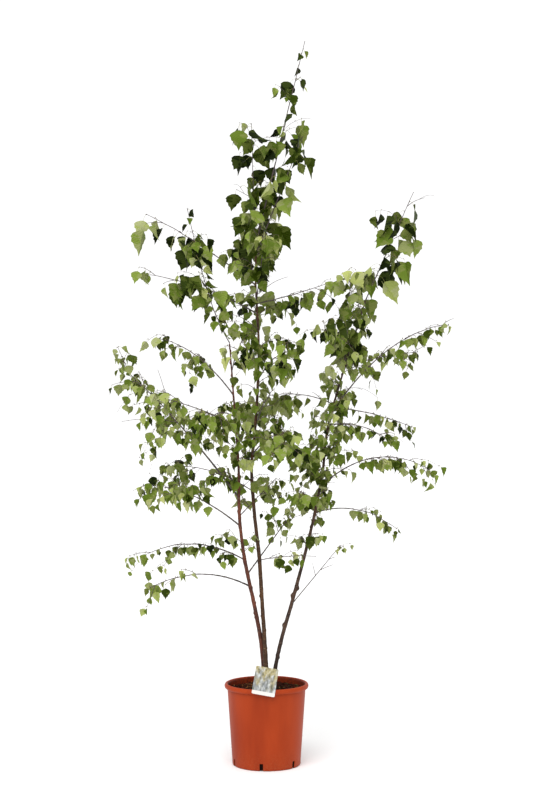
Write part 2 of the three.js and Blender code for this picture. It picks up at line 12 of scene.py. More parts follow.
import bpy
import numpy as np
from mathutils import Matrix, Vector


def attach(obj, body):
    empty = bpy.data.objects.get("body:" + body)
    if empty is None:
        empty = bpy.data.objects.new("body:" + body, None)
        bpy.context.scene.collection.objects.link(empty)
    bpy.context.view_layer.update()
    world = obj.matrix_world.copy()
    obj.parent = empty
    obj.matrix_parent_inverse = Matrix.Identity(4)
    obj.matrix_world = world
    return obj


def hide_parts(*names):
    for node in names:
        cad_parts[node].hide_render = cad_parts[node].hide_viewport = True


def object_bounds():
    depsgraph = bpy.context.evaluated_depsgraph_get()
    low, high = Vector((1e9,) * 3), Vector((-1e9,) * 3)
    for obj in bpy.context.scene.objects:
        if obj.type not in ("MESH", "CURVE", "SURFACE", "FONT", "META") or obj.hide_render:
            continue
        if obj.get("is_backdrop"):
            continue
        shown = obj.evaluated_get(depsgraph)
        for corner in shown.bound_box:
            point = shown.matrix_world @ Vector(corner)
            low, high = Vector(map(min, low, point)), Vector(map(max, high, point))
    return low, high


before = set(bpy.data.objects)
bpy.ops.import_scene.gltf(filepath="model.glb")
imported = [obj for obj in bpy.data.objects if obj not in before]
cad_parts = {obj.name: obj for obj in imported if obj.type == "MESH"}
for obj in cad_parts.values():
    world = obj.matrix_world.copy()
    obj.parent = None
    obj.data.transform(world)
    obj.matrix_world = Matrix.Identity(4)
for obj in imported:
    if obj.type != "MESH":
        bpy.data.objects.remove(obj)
cad_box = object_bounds()

MM = 0.001
GAP = 0.3

# Pot
POT_HEIGHT = 250
POT_FOOT_RADIUS = 105
POT_NECK_RADIUS = 121
POT_FOOT_ROUND = 2
POT_WALL = 2.5
POT_FLOOR = 3
RIM_RADIUS = 130
RIM_HEIGHT = 16
NECK_HEIGHT = POT_HEIGHT - RIM_HEIGHT
POT_TAPER = (POT_NECK_RADIUS - POT_FOOT_RADIUS) / NECK_HEIGHT
POT_SEGMENTS = 128
POT_SHARP = 50
SLOT_COUNT = 6
SLOT_WIDTH = 11
SLOT_HEIGHT = 22
SLOT_INNER_RADIUS = 96
SLOT_TURN = math.radians(-98.6)
DUST_TOP = 70
# Painted shade inside the neck starts at this height
NECK_SHADE_FOOT = 200

# Soil
SOIL_TOP = 230
SOIL_SEGMENTS = 160
CLUMPS_BETWEEN = (-4, 5)
CHIP_COUNT = 620
# Painted shade on the soil: the height where it starts to darken, and where it is darkest
SOIL_SHADE_BELOW = 120
SOIL_SHADE_DEEPEST_BELOW = 50

# Label
LABEL_WIDTH = 70
LABEL_RUN = 120
LABEL_FLAP = 20
LABEL_LENGTH = LABEL_RUN + LABEL_FLAP
LABEL_STRIP = 11.5
LABEL_BEND = 12
LABEL_CORNER = 4
LABEL_THICKNESS = 0.8
LABEL_SLOPE = math.radians(22.4)
LABEL_FLAP_SLOPE = math.radians(66)
LABEL_TURN = math.radians(-1.2)
LABEL_ROLL = math.radians(10)
LABEL_TOP = 299.6
LABEL_SIDE = 3
LABEL_SET_OFF = 1.1
LABEL_HOLE_RADIUS = 2.5
LABEL_HOLE_DROP = 15
LABEL_HOLE_SIDE = -3
LABEL_SHARP = 40

# Stems: side and depth of the centre line at even heights from the soil to the top
STEMS = {
    "left": SimpleNamespace(
        top=1300, foot=7.5, tip=1.9, slot="bark_red_brown",
        side=(-4, -15, -39, -67, -83, -85, -93, -103, -113),
        depth=(12, 4, -8, -20, -32, -42, -50, -56, -60),
    ),
    "middle": SimpleNamespace(
        top=1605, foot=7.2, tip=2.4, slot="bark_brown",
        side=(1, -5, -14, -23, -38, -46, -34, -26, -25, -33, -33),
        depth=(-10, -6, -2, 2, 5, 8, 10, 10, 8, 4, 0),
    ),
    "right": SimpleNamespace(
        top=1440, foot=6.6, tip=2, slot="bark_grey_brown",
        side=(15, 42, 80, 117, 150, 176, 192, 229, 271, 313),
        depth=(5, 12, 22, 34, 46, 58, 70, 80, 90, 98),
    ),
}
FLARE = 0.35
FLARE_HEIGHT = 30
# Painted shade on the stems: the height where it starts to darken them, and where it is deepest
STEM_SHADE_BELOW = 500
STEM_SHADE_DEEPEST_BELOW = 300

# Knots where shoots were cut from the right stem: height, and the angle round the stem
KNOTS = ((425, 2.6), (516, 3.3), (541, -0.2))
KNOT_SIZE = 5.5
DORMANT_BUDS = 26
DORMANT_BUD_SIZE = 2.2
COLLAR_SHARE = 0.45
COLLAR_HEIGHT = 9
RING_RELIEF = 0.35
RING_HEIGHT = 2.5
RING_DROP = 7
LENTICELS = 260
LENTICEL_RELIEF = 0.28
LENTICEL_HEIGHT = 1.6

# Twigs: radii at the root and at the tip
GOLDEN_ANGLE = math.pi * (3 - math.sqrt(5))
TWIG_TIP_RADIUS = 0.9
SIDE_TWIG_RADII = (1.15, 0.6)
BARE_TWIG_RADII = (1.1, 0.6)
SPRAY_RADII = (1.1, 0.5)
FINE_TWIG_RADII = (0.65, 0.4)
TWIG_AHEAD = 0.7
TWIG_ASIDE = 0.75
TWIG_UP = 0.5
TWIG_DROOP = 0.22
TWIG_DWINDLE = 0.4
TWIG_LEAFY = 0.3
TWIG_SWAY = 4
TWIG_BUDS = 9
TWIG_SWELL = 0.14

# Twigs and leaves grow in even steps along their host. The ranges are for the place in the step, the turn
# beyond the golden angle's, and the share of the usual length.
SIDE_TWIG_RANGES = ((0.3, 0.8), (0, 1.2), (0.7, 1.3))
FINE_TWIG_RANGES = ((0.2, 0.9), (0, 1.5), (0.6, 1.35))
SPRAY_RANGES = ((0, 1), (0, 1), (0.6, 1.3))
LEAF_RANGES = ((-0.15, 0.15), (0, 1), (0.72, 1.22))

# Seeds of the random numbers: the first limb's or row of sprays', and the step to the next
TWIG_SEEDS = (41, 17)
FINE_SEEDS = (16201, 31)
SPRAY_SEEDS = (70001, 13)
TINT_SEED = 4001
CHIP_SEED = 8
LEAF_SEED = 77

# Leaves
LEAF_AHEAD = 0.35
LEAF_ASIDE = (0.5, 0.5)
LEAF_UP = (0.3, 0.7)
LEAF_DOWN = 0.85
LEAF_FIRST = 1.1
LEAF_DWINDLE = 0.35
LEAF_LONGEST = 84
STALK = 0.3
LEAF_HALF_WIDTH = 0.43
LARGE_LEAF = 45
TOPMOST_LEAF = 60
UNFOLDING = 0.5
VEIN_RADIANS = 56.0
LEAF_BEND = 1.1
LEAF_FOLD = 0.95
LEAF_TWIST = 0.8
LEAF_RIPPLE = 0.05
STALK_RADII = (0.6, 0.45, 0.42, 0.42, 0.42, 0.45)
BUD_RADII = (0.7, 1.1, 1.0, 0.6, 0.08)
BUD_LENGTH = 5

# The second leaf on a spur: how often there is one, also on the topmost shoots, and the ranges of how much
# further it sits, is turned, is long as a share of the first, and faces
SECOND_LEAF = 0.5
SECOND_TOPMOST_LEAF = 0.25
SECOND_LEAF_RANGES = ((0.01, 0.04), (1.8, 4.2), (0.65, 1.05), (0.8, 2.4))


def limb(name, stem, height, lean, **form):
    """One limb, with the usual values for what isn't given."""
    usual = dict(arch=0, bare=0, leafy=0.1, twigs=4, twig=80, leaf=42, step=29, fuller=1, fine=72,
                 hang=0.45, dwindle=LEAF_DWINDLE)
    lean = np.array(lean, float)
    return SimpleNamespace(name=name, stem=stem, height=height, lean=lean, **{**usual, **form})


# Limbs: where each leaves its stem, and how far its tip lies to the side, away from the viewer and above
# its root. The part up to bare is a bough; the rest is a shoot with twigs and leaves. leafy is where its
# leaves start, leaf their usual length, step their spacing, and dwindle how much they shrink to the tip.
# fuller multiplies the number of fine twigs, fine is their usual length and hang their droop.
LIMBS = (
    limb("left_low", "left", 549, (-300, -140, 12), arch=40, bare=0.38, thick=2.6, leafy=0.6, twigs=3,
         leaf=40),
    limb("left_hook", "left", 632, (-320, 80, 4), arch=43, thick=2.5, leafy=0.12, twig=85, leaf=37),
    limb("left_mid", "left", 737, (-297, -30, 128), arch=31, bare=0.25, thick=2.6, twigs=5, twig=110,
         fuller=1.1, fine=85),
    limb("left_back", "middle", 843, (-278, 254, 65), arch=25, thick=2, leafy=0.3, twig=100, fuller=3,
         fine=95),
    limb("left_strong", "left", 824, (-358, 97, 395), arch=20, bare=0.35, thick=3.4, twigs=9, twig=190,
         fuller=1.15, fine=135, hang=0.9),
    limb("left_upper", "left", 1048, (-201, -249, 82), arch=6, thick=2.4, leafy=0.15, twigs=5, twig=120),
    limb("left_front", "left", 1070, (-73, -278, -3), arch=19, thick=2, leafy=0.15, twig=110,
         fuller=0.6),
    limb("left_arm", "left", 1140, (-237, 135, 177), arch=36, bare=0.2, thick=2.2, twig=65,
         fuller=2.5, fine=95, hang=0.9),
    limb("left_top", "left", 1300, (-128, -40, 408), arch=-53, thick=1.8, leafy=0.15, twigs=3, leaf=48),
    limb("left_collar", "left", 1211, (40, -163, 92), arch=19, thick=1.7, leafy=0.2, twigs=3, twig=70,
         leaf=46, fuller=0.4),
    limb("cross_low", "left", 588, (175, 146, 225), bare=0.45, thick=2.4, twig=85, fuller=0.7, leaf=37),
    limb("centre_low", "middle", 629, (169, -202, 32), arch=6, thick=1.6, leafy=0.3, twigs=2, twig=50,
         fuller=0.6, leaf=37),
    limb("centre_inner", "left", 768, (114, 182, 108), thick=1.8, leafy=0.5, twigs=3),
    limb("middle_front", "middle", 954, (103, -339, 41), arch=31, bare=0.2, thick=2.4, twigs=5, twig=130,
         fuller=0.8),
    limb("middle_back", "middle", 1032, (54, 330, 110), arch=25, bare=0.2, thick=2.4, twigs=5, twig=120,
         fuller=0.8),
    limb("right_inner", "right", 865, (-120, -155, 163), arch=6, bare=0.3, thick=2.4, twigs=5, twig=100,
         fuller=2),
    limb("right_inner_high", "right", 1112, (-169, -16, 31), arch=12, thick=1.7, leafy=0.25, twigs=3,
         twig=75),
    limb("middle_high", "middle", 1187, (89, -270, 79), arch=19, thick=2.1, leafy=0.15, twig=100, leaf=46),
    limb("left_reach", "middle", 1392, (-328, -66, 116), arch=19, bare=0.25, thick=2.4, twig=85, leaf=56,
         fuller=0.6, dwindle=0.15),
    limb("left_crest", "middle", 1481, (-349, 116, 234), arch=12, bare=0.3, thick=2.2, twigs=3, twig=70,
         leaf=66, step=38, fuller=0.4, dwindle=0.05),
    limb("right_reach", "middle", 1423, (213, -65, 57), arch=-3, thick=2, leafy=0.25, twigs=3, twig=60,
         leaf=50, fuller=1.6),
    limb("crown_back", "middle", 1528, (15, 190, 190), arch=16, thick=2, twigs=5, twig=110, leaf=54,
         fuller=0.4),
    limb("crown_front", "middle", 1430, (30, -200, 190), arch=16, thick=2, twigs=5, twig=110, leaf=54,
         fuller=0.4),
    limb("middle_core", "middle", 1320, (-20, 170, 150), arch=10, thick=1.8, twig=110, leaf=48,
         fuller=0.1),
    limb("top_left", "middle", 1530, (-14, 42, 460), thick=1.9, leafy=0.08, twigs=3, twig=70, leaf=76,
         step=36),
    limb("leader", "middle", 1605, (152, 0, 632), thick=2.4, twigs=3, twig=60, leaf=80, step=40,
         fuller=0.7, dwindle=0.75),
    limb("top_right", "middle", 1575, (145, -40, 360), thick=1.9, twigs=2, twig=70, leaf=74, step=40,
         fuller=0.7),
    limb("right_bare", "right", 488, (146, -111, 193), bare=0.7, thick=1.7, leafy=0.7, twigs=1, twig=40,
         leaf=24),
    limb("right_sprig", "right", 800, (-60, -150, 50), arch=6, thick=1.4, leafy=0.25, twigs=3, twig=60),
    limb("right_low", "right", 772, (267, 124, -60), arch=36, bare=0.4, thick=2.2, twigs=3, twig=75,
         fuller=0.6, leaf=37),
    limb("right_arm", "right", 853, (337, -74, 56), arch=65, bare=0.3, thick=2.3, twigs=5, twig=75,
         fuller=0.9, leaf=38),
    limb("right_front", "right", 1046, (164, -231, -35), arch=19, thick=2, leafy=0.15, twig=90,
         fuller=0.4, leaf=37),
    limb("right_level", "right", 1100, (267, 185, -63), arch=12, bare=0.35, thick=2, twigs=3, twig=75,
         fuller=0.3, leaf=37),
    limb("right_long", "right", 1084, (357, -114, 271), arch=65, bare=0.35, thick=2.4, twig=75,
         fuller=0.25, leaf=37),
    limb("right_high", "right", 1232, (253, 245, 52), arch=6, bare=0.25, thick=2, twig=85,
         fuller=0.2, leaf=37),
    limb("right_spire", "right", 1223, (18, -64, 300), thick=2, leafy=0.08, twigs=5, twig=100, leaf=52,
         fuller=0.8),
    limb("right_fan", "right", 1298, (-102, -230, 37), arch=12, thick=1.9, leafy=0.12, twig=100, leaf=52,
         fuller=0.6),
    limb("right_top", "right", 1440, (150, -18, 340), thick=2, leafy=0.04, twigs=5, twig=100, leaf=72,
         step=36, fuller=0.6, fine=55, dwindle=0.15),
)

# Leafless side twigs: limb, place along it, and how far the tip lies to the side, away and above the root
BARE_TWIGS = (
    ("right_bare", 0.5, (-8, 10, 38)),
    ("right_bare", 0.6, (40, -8, 17)),
    ("right_bare", 0.78, (22, 12, 6)),
)

# Leaf tints: upper side, under side, and shares among the small-leaved lower limbs, the large-leaved upper
# ones and the topmost
LEAF_TINTS = {
    "shade": ("#131d02", "#303b12", 0.03, 0.17, 0.30),
    "deep": ("#2f3d07", "#4f5a22", 0.15, 0.23, 0.26),
    "mid": ("#5c7023", "#707a3c", 0.31, 0.25, 0.20),
    "fresh": ("#798b3a", "#89915a", 0.31, 0.21, 0.14),
    "light": ("#9aa55c", "#a1a774", 0.17, 0.11, 0.08),
    "young": ("#adb56a", "#b0b47c", 0.03, 0.03, 0.02),
}

# Fine twigs: one to each so many mm of a shoot or of a side twig, where their leaves start, and the leaf
# with which a limb's fine twigs have their usual length
FINE_PER_SHOOT = 98
FINE_PER_TWIG = 62
FINE_LEAFY = 0.35
USUAL_LEAF = 38

# Short shoots that leave a stem directly: stem, lowest and highest root, count, length and leaf
STEM_SPRAYS = (
    ("left", 640, 720, 2, 90, 36),
    ("left", 830, 1080, 8, 125, 38),
    ("middle", 980, 1360, 10, 110, 39),
    ("middle", 1370, 1600, 6, 95, 42),
    ("right", 650, 760, 3, 90, 36),
    ("right", 760, 1140, 12, 115, 38),
    ("right", 780, 990, 9, 105, 38),
    ("right", 1020, 1240, 5, 110, 40),
    ("right", 1140, 1430, 6, 95, 44),
)
SPRAY_DROOP = 0.45
SPRAY_STEP = 26
SPRAY_LEAFY = 0.2

# Open spaces between the limbs, which run through the crown from front to back: side, height and radius
OPEN_SPACES = (
    (240, 1890, 100), (-170, 1710, 55), (180, 1590, 75), (90, 1525, 65), (-360, 1395, 70),
    (-260, 1355, 55), (-200, 1300, 40), (160, 1380, 25), (-360, 1255, 30), (-325, 1200, 45),
    (-60, 1180, 25), (125, 1180, 45), (440, 970, 35), (-210, 905, 25), (235, 840, 40),
    (-370, 740, 55), (110, 730, 30), (170, 630, 45), (-520, 980, 110), (-480, 815, 60),
    (525, 1690, 55), (365, 1330, 42), (23, 1460, 25), (159, 1277, 22), (-147, 846, 22),
    (-440, 1430, 40), (-465, 1555, 50), (165, 2205, 30), (150, 1930, 36), (290, 830, 35),
    (560, 830, 45), (-415, 840, 28), (-85, 1745, 17), (320, 1118, 26),
)


# Numbers and directions

def seeded(first, step=0, number=0):
    """A repeatable run of numbers from 0 to 1. The seed goes on from the first by a step for each number."""
    state = first + step * number
    while True:
        state = (state * 1664525 + 1013904223) % 2 ** 32
        yield state / 2 ** 32


def between(random, low, high):
    """The next random number, stretched to run from low to high."""
    return low + (high - low) * next(random)


def unit(vectors):
    """Each vector over its own length."""
    return vectors / np.maximum(np.linalg.norm(vectors, axis=-1, keepdims=True), 1e-9)


def dot(a, b):
    """The scalar product of each pair of vectors, as one more column."""
    return np.sum(a * b, -1, keepdims=True)


def even_angles(count):
    """The angles of so many even steps round a circle."""
    return 2 * np.pi * np.arange(count) / count


def polar(radius, angle, height):
    """Places at a radius from the Z axis, an angle round it and a height."""
    return np.stack(np.broadcast_arrays(radius * np.cos(angle), radius * np.sin(angle), height), -1)


def rotation(angle, first, second):
    """A turn by an angle from one axis towards another, as a matrix."""
    turn = np.eye(3)
    turn[first, first] = turn[second, second] = math.cos(angle)
    turn[first, second] = -math.sin(angle)
    turn[second, first] = math.sin(angle)
    return turn


def square_to(ahead):
    """Two directions square to each one given: a level one, or X squared to it where it is almost
    upright, and ahead x level, which leans upward."""
    level = np.stack([-ahead[..., 1], ahead[..., 0], np.zeros(ahead.shape[:-1])], -1)
    upright = np.linalg.norm(level, axis=-1, keepdims=True) < 0.2
    level = np.where(upright, np.array([1.0, 0, 0]), level)
    level = unit(level - ahead * dot(level, ahead))
    return level, np.cross(ahead, level)


def uneven(points, size, seed):
    """Soft bumps: the mean of twelve sine waves in random directions, each about as long as size."""
    waves = 12
    random = np.random.default_rng(seed)
    directions = unit(random.normal(size=(waves, 3)))
    turns = 2 * np.pi / (size * random.uniform(0.6, 1.6, waves))
    phases = random.uniform(0, 2 * np.pi, waves)
    return np.sin((points @ directions.T) * turns + phases).mean(-1)


# Meshes. A shape is its corners in mm and its groups of faces: corner numbers, UVs and finish number.

def joined(shapes):
    """One shape from several, with the corner numbers running on."""
    corners, groups, first = [], [], 0
    for some_corners, some_groups in shapes:
        groups += [(faces + first, uvs, finish) for faces, uvs, finish in some_groups]
        corners.append(some_corners)
        first += len(some_corners)
    return np.concatenate(corners), groups


def placed(name, data):
    """A new object in the scene, which holds the data."""
    thing = bpy.data.objects.new(name, data)
    bpy.context.scene.collection.objects.link(thing)
    return thing


def smooth(mesh, sharp):
    """Shades a mesh smooth but for edges sharper than `sharp` degrees."""
    mesh.shade_smooth()
    mesh.set_sharp_from_angle(angle=math.radians(sharp))


def make_piece(name, shape, finishes, slot, replaced=(), sharp=40):
    """Puts a shape into a mesh in metres, smooth between its sharp edges, and lets it ride on the root
    body."""
    corners, groups = shape
    loops = np.concatenate([faces.ravel() for faces, _, _ in groups])
    uvs = np.concatenate([uvs.reshape(-1, 2) for _, uvs, _ in groups])
    sizes = np.concatenate([np.full(len(faces), faces.shape[1]) for faces, _, _ in groups])
    numbers = np.concatenate([np.full(len(faces), finish) for faces, _, finish in groups])
    mesh = bpy.data.meshes.new(name)
    mesh.vertices.add(len(corners))
    mesh.vertices.foreach_set("co", (corners * MM).ravel())
    mesh.loops.add(len(loops))
    mesh.loops.foreach_set("vertex_index", loops)
    mesh.polygons.add(len(sizes))
    mesh.polygons.foreach_set("loop_start", np.cumsum(sizes) - sizes)
    mesh.polygons.foreach_set("material_index", numbers)
    mesh.uv_layers.new(name="surface").data.foreach_set("uv", uvs.ravel())
    mesh.update(calc_edges=True)
    smooth(mesh, sharp)
    for finish in finishes:
        mesh.materials.append(finish)
    piece = placed(name, mesh)
    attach(piece, "root")
    if replaced:
        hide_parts(*replaced)
    return piece


def ring_faces(number):
    """Faces between each ring of corner numbers and the next one."""
    after = np.roll(number, -1, -1)
    return np.stack([number[..., :-1, :], after[..., :-1, :], after[..., 1:, :], number[..., 1:, :]], -1)


def tubes(centres, radii, sides):
    """Closed tubes, one for each row of centres. Round each centre lies a ring of corners square to the
    path, at centre + radius * (cos(angle) * across + sin(angle) * over), and flat caps close the ends.
    U runs round the tube and V along it, in mm."""
    count, rings, _ = centres.shape
    radii = radii[..., None] if radii.ndim == 2 else radii
    ahead = unit(np.gradient(centres, axis=1))
    across = square_to(unit(centres[:, -1] - centres[:, 0]))[0][:, None]
    across = unit(across - ahead * dot(across, ahead))
    over = np.cross(ahead, across)
    angle = even_angles(sides)
    ring = np.cos(angle)[:, None] * across[:, :, None] + np.sin(angle)[:, None] * over[:, :, None]
    corners = centres[:, :, None] + radii[..., None] * ring
    number = np.arange(count * rings * sides).reshape(count, rings, sides)
    steps = np.linalg.norm(np.diff(centres, axis=1, prepend=centres[:, :1]), axis=-1)
    along = np.broadcast_to(np.cumsum(steps, 1)[..., None], number.shape)
    girth = 2 * np.pi * radii.mean((1, 2))[:, None, None]
    start, end = (np.broadcast_to(girth * (np.arange(sides) + k) / sides, number.shape) for k in (0, 1))
    near, far = slice(None, -1), slice(1, None)
    uvs = np.stack([np.stack([turn[:, part], along[:, part]], -1)
                    for turn, part in ((start, near), (end, near), (end, far), (start, far))], -2)
    caps = np.concatenate([number[:, 0, ::-1], number[:, -1]])
    cap_uvs = np.stack([start, along], -1)
    cap_uvs = np.concatenate([cap_uvs[:, 0, ::-1], cap_uvs[:, -1]])
    return corners.reshape(-1, 3), [(ring_faces(number).reshape(-1, 4), uvs, 0), (caps, cap_uvs, 0)]


def revolved(radius, height):
    """A closed body turned about the Z axis: radius and height are given for each ring, from the middle of
    the underside outwards and round to the middle of the top, and each place on it."""
    rings, segments = radius.shape
    flat = polar(radius, even_angles(segments), height).reshape(-1, 3)
    number = np.arange(rings * segments).reshape(rings, segments)
    quads = ring_faces(number).reshape(-1, 4)
    caps = np.stack([number[0, ::-1], number[-1]])
    return flat, [(faces, flat[faces][..., :2], 0) for faces in (quads, caps)]


def cut(piece, tool_shape, sharp):
    """Takes the tool's closed shape out of a piece, and keeps the result as its mesh."""
    corners, groups = tool_shape
    faces = [face.tolist() for faces, _, _ in groups for face in faces]
    mesh = bpy.data.meshes.new("tool")
    mesh.from_pydata((corners * MM).tolist(), [], faces)
    tool = placed("tool", mesh)
    taken = piece.modifiers.new("taken_out", "BOOLEAN")
    taken.operation = "DIFFERENCE"
    taken.solver = "EXACT"
    taken.object = tool
    shown = piece.evaluated_get(bpy.context.evaluated_depsgraph_get())
    piece.data = bpy.data.meshes.new_from_object(shown)
    piece.modifiers.clear()
    bpy.data.objects.remove(tool)
    bpy.data.meshes.remove(mesh)
    smooth(piece.data, sharp)


# Materials

def linear(colour):
    """An sRGB hex value as a linear colour."""
    parts = [int(colour[k:k + 2], 16) / 255 for k in (1, 3, 5)]
    return [part / 12.92 if part <= 0.04045 else ((part + 0.055) / 1.055) ** 2.4 for part in parts] + [1.0]


def per_metre(size):
    """The scale of a noise whose waves are so many mm long."""
    return 1 / (size * MM)


def feed(tree, socket, value):
    """Links a socket to a node's output, or sets it to a plain value."""
    if isinstance(value, bpy.types.NodeSocket):
        tree.links.new(value, socket)
    else:
        socket.default_value = value


def add(tree, kind, sockets=None, out=0, **settings):
    """Adds a shader node, sets its properties, feeds its sockets, and returns one of its outputs. Sockets
    1 to 4 of a MapRange are its limits, from and to, and 6 and 7 of a Mix its colours."""
    node = tree.nodes.new("ShaderNode" + kind)
    for key, value in settings.items():
        setattr(node, key, value)
    for key, value in (sockets or {}).items():
        feed(tree, node.inputs[key], value)
    return node.outputs[out]


def new_material(name, roughness, gloss=0.5):
    """A material with its roughness and specular level set, and the function that adds nodes to it."""
    material = bpy.data.materials.new(name)
    material.use_nodes = True
    shader = material.node_tree.nodes["Principled BSDF"]
    shader.inputs["Roughness"].default_value = roughness
    shader.inputs["Specular IOR Level"].default_value = gloss
    return material, partial(add, material.node_tree)


def painted(material, ground, layers=(), relief=None, strength=0, depth=0):
    """Gives a material its ground colour, over it each layer's colour by the layer's share, and a bump of
    so many mm in depth from the relief."""
    tree = material.node_tree
    shader = tree.nodes["Principled BSDF"]
    colour = linear(ground)
    for share, over in layers:
        colour = add(tree, "Mix", {"Factor": share, 6: colour, 7: linear(over)}, out=2, data_type="RGBA")
    feed(tree, shader.inputs["Base Color"], colour)
    if relief is not None:
        bump = add(tree, "Bump", {"Height": relief, "Strength": strength, "Distance": depth * MM})
        feed(tree, shader.inputs["Normal"], bump)
    return material


def pot_plastic():
    """Polypropylene, injection moulded and coloured right through: an even satin terracotta with faint flow
    clouds, a fine grain from the mould, a little dust towards the foot, and painted shade in patches inside
    the neck."""
    material, node = new_material("moulded_polypropylene_terracotta", 0.45, 0.12)
    place = node("TexCoord", out="Object")
    drawn = node("Mapping", {"Vector": place, "Scale": (1, 1, 0.25)})
    clouds = node("TexNoise", {"Vector": drawn, "Scale": per_metre(71.43), "Detail": 3.0})
    clouds = node("MapRange", {"Value": clouds, 1: 0.35, 2: 0.65})
    height = node("SeparateXYZ", {0: place}, out="Z")
    low = node("MapRange", {"Value": height, 1: DUST_TOP * MM, 2: 0.0, 3: 0.0, 4: 0.2})
    specks = node("TexNoise", {"Vector": place, "Scale": per_metre(3.846), "Detail": 2.0})
    specks = node("MapRange", {"Value": specks, 1: 0.45, 2: 0.7})
    dust = node("Math", {0: low, 1: specks}, operation="MULTIPLY")
    # With the taper taken off, the wall's inner face lies at the same radius all the way up
    level = node("VectorMath", {0: place, 1: (1, 1, 0)}, operation="MULTIPLY")
    radius = node("VectorMath", {0: level}, out="Value", operation="LENGTH")
    inset = node("Math", {0: height, 1: -POT_TAPER, 2: radius}, operation="MULTIPLY_ADD")
    inner = POT_FOOT_RADIUS - POT_WALL
    inward = node("MapRange", {"Value": inset, 1: (inner + 2) * MM, 2: (inner + 0.5) * MM})
    # Painted shade: the inner face of the neck, from below the soil's top up to the rim, is darkened in
    # patches
    upper = node("MapRange", {"Value": height, 1: NECK_SHADE_FOOT * MM, 2: (NECK_SHADE_FOOT + 5) * MM})
    neck_shade = node("Math", {0: inward, 1: upper}, operation="MULTIPLY")
    shade_patches = node("MapRange", {"Value": specks, 3: 0.55, 4: 1.0})
    neck_shade = node("Math", {0: neck_shade, 1: shade_patches}, operation="MULTIPLY")
    # A mould's grain of 0.2 mm is too fine to show, so it is drawn at about 1 mm
    grain = node("TexNoise", {"Vector": place, "Scale": per_metre(1.111), "Detail": 2.0})
    # The dark red-brown layer is painted shade inside the neck
    return painted(material, "#8d2f0f", [(clouds, "#a03a14"), (dust, "#ab6a45"), (neck_shade, "#3f170d")],
                   grain, strength=0.12, depth=0.4)


def potting_soil(name, dark, light):
    """Peat and composted bark: matt, dark brown and clumpy, with paler fibres, and darkened to nearly black
    low in the pot by painted shade."""
    material, node = new_material(name, 0.95, 0.1)
    place = node("TexCoord", out="Object")
    clumps = node("TexNoise", {"Vector": place, "Scale": per_metre(8.333), "Detail": 6.0})
    clumps = node("MapRange", {"Value": clumps, 1: 0.38, 2: 0.7})
    height = node("SeparateXYZ", {0: place}, out="Z")
    # Painted shade: the soil turns nearly black low in the pot, where it is seen through the slots
    low_shade = node("MapRange", {"Value": height, 1: SOIL_SHADE_BELOW * MM, 2: SOIL_SHADE_DEEPEST_BELOW * MM, 3: 0.0, 4: 0.9})
    return painted(material, dark, [(clumps, light), (low_shade, "#0c0503")], clumps, strength=0.8, depth=2)


def label_card():
    """A printed polypropylene label, satin and slightly bowed: soft clouds of cream, ochre, pale blue and
    grey-green, drawn out down the card and bluer towards the foot, over a white strip along the lower
    edge. The UV map is in mm, so a scale is 1 over a size."""
    material, node = new_material("printed_label_card", 0.4, 0.2)
    place = node("UVMap", uv_map="surface")
    down = node("SeparateXYZ", {0: place}, out="Y")
    drawn = node("Mapping", {"Vector": place, "Scale": (1, 0.3, 1)})
    broad = node("TexNoise", {"Vector": drawn, "Scale": 1 / 20, "Detail": 2.0})
    fine = node("TexNoise", {"Vector": drawn, "Scale": 1 / 9.091, "Detail": 3.0})
    low = node("MapRange", {"Value": down, 1: 20.0, 2: 110.0, 3: -0.1, 4: 0.17})
    blue = node("Math", {0: broad, 1: low}, operation="ADD")
    blue = node("MapRange", {"Value": blue, 1: 0.42, 2: 0.62})
    bright = node("MapRange", {"Value": fine, 1: 0.5, 2: 0.7})
    dark = node("MapRange", {"Value": fine, 1: 0.48, 2: 0.34, 4: 0.9})
    edge = LABEL_LENGTH - LABEL_STRIP
    strip = node("MapRange", {"Value": down, 1: edge, 2: edge + 0.5})
    layers = [(blue, "#8c8f91"), (bright, "#d3d6d2"), (dark, "#5a5d4e"), (strip, "#d2d0cb")]
    return painted(material, "#b2a67a", layers)


def young_bark(name, base, dark, pale, foot_shade=0.15):
    """Young birch bark, grown smooth and thin: satin, clouded with darker patches, crossed by short pale
    lenticels, which lie level and are about 1 mm high, and darkened near the pot by painted shade."""
    material, node = new_material(name, 0.5, 0.25)
    place = node("TexCoord", out="Object")
    clouds = node("TexNoise", {"Vector": place, "Scale": per_metre(33.33), "Detail": 5.0})
    clouds = node("MapRange", {"Value": clouds, 1: 0.35, 2: 0.65})
    flat = node("Mapping", {"Vector": place, "Scale": (1, 1, 5)})
    dashes = node("TexNoise", {"Vector": flat, "Scale": per_metre(9.091), "Detail": 1.0})
    dashes = node("MapRange", {"Value": dashes, 1: 0.62, 2: 0.7, 4: 0.7})
    height = node("SeparateXYZ", {0: place}, out="Z")
    # Painted shade: the bark darkens towards the pot
    foot = node("MapRange", {"Value": height, 1: STEM_SHADE_BELOW * MM, 2: STEM_SHADE_DEEPEST_BELOW * MM, 3: 0.0, 4: foot_shade})
    return painted(material, dark, [(clouds, base), (dashes, pale), (foot, "#170e09")],
                   dashes, strength=0.5, depth=0.6)


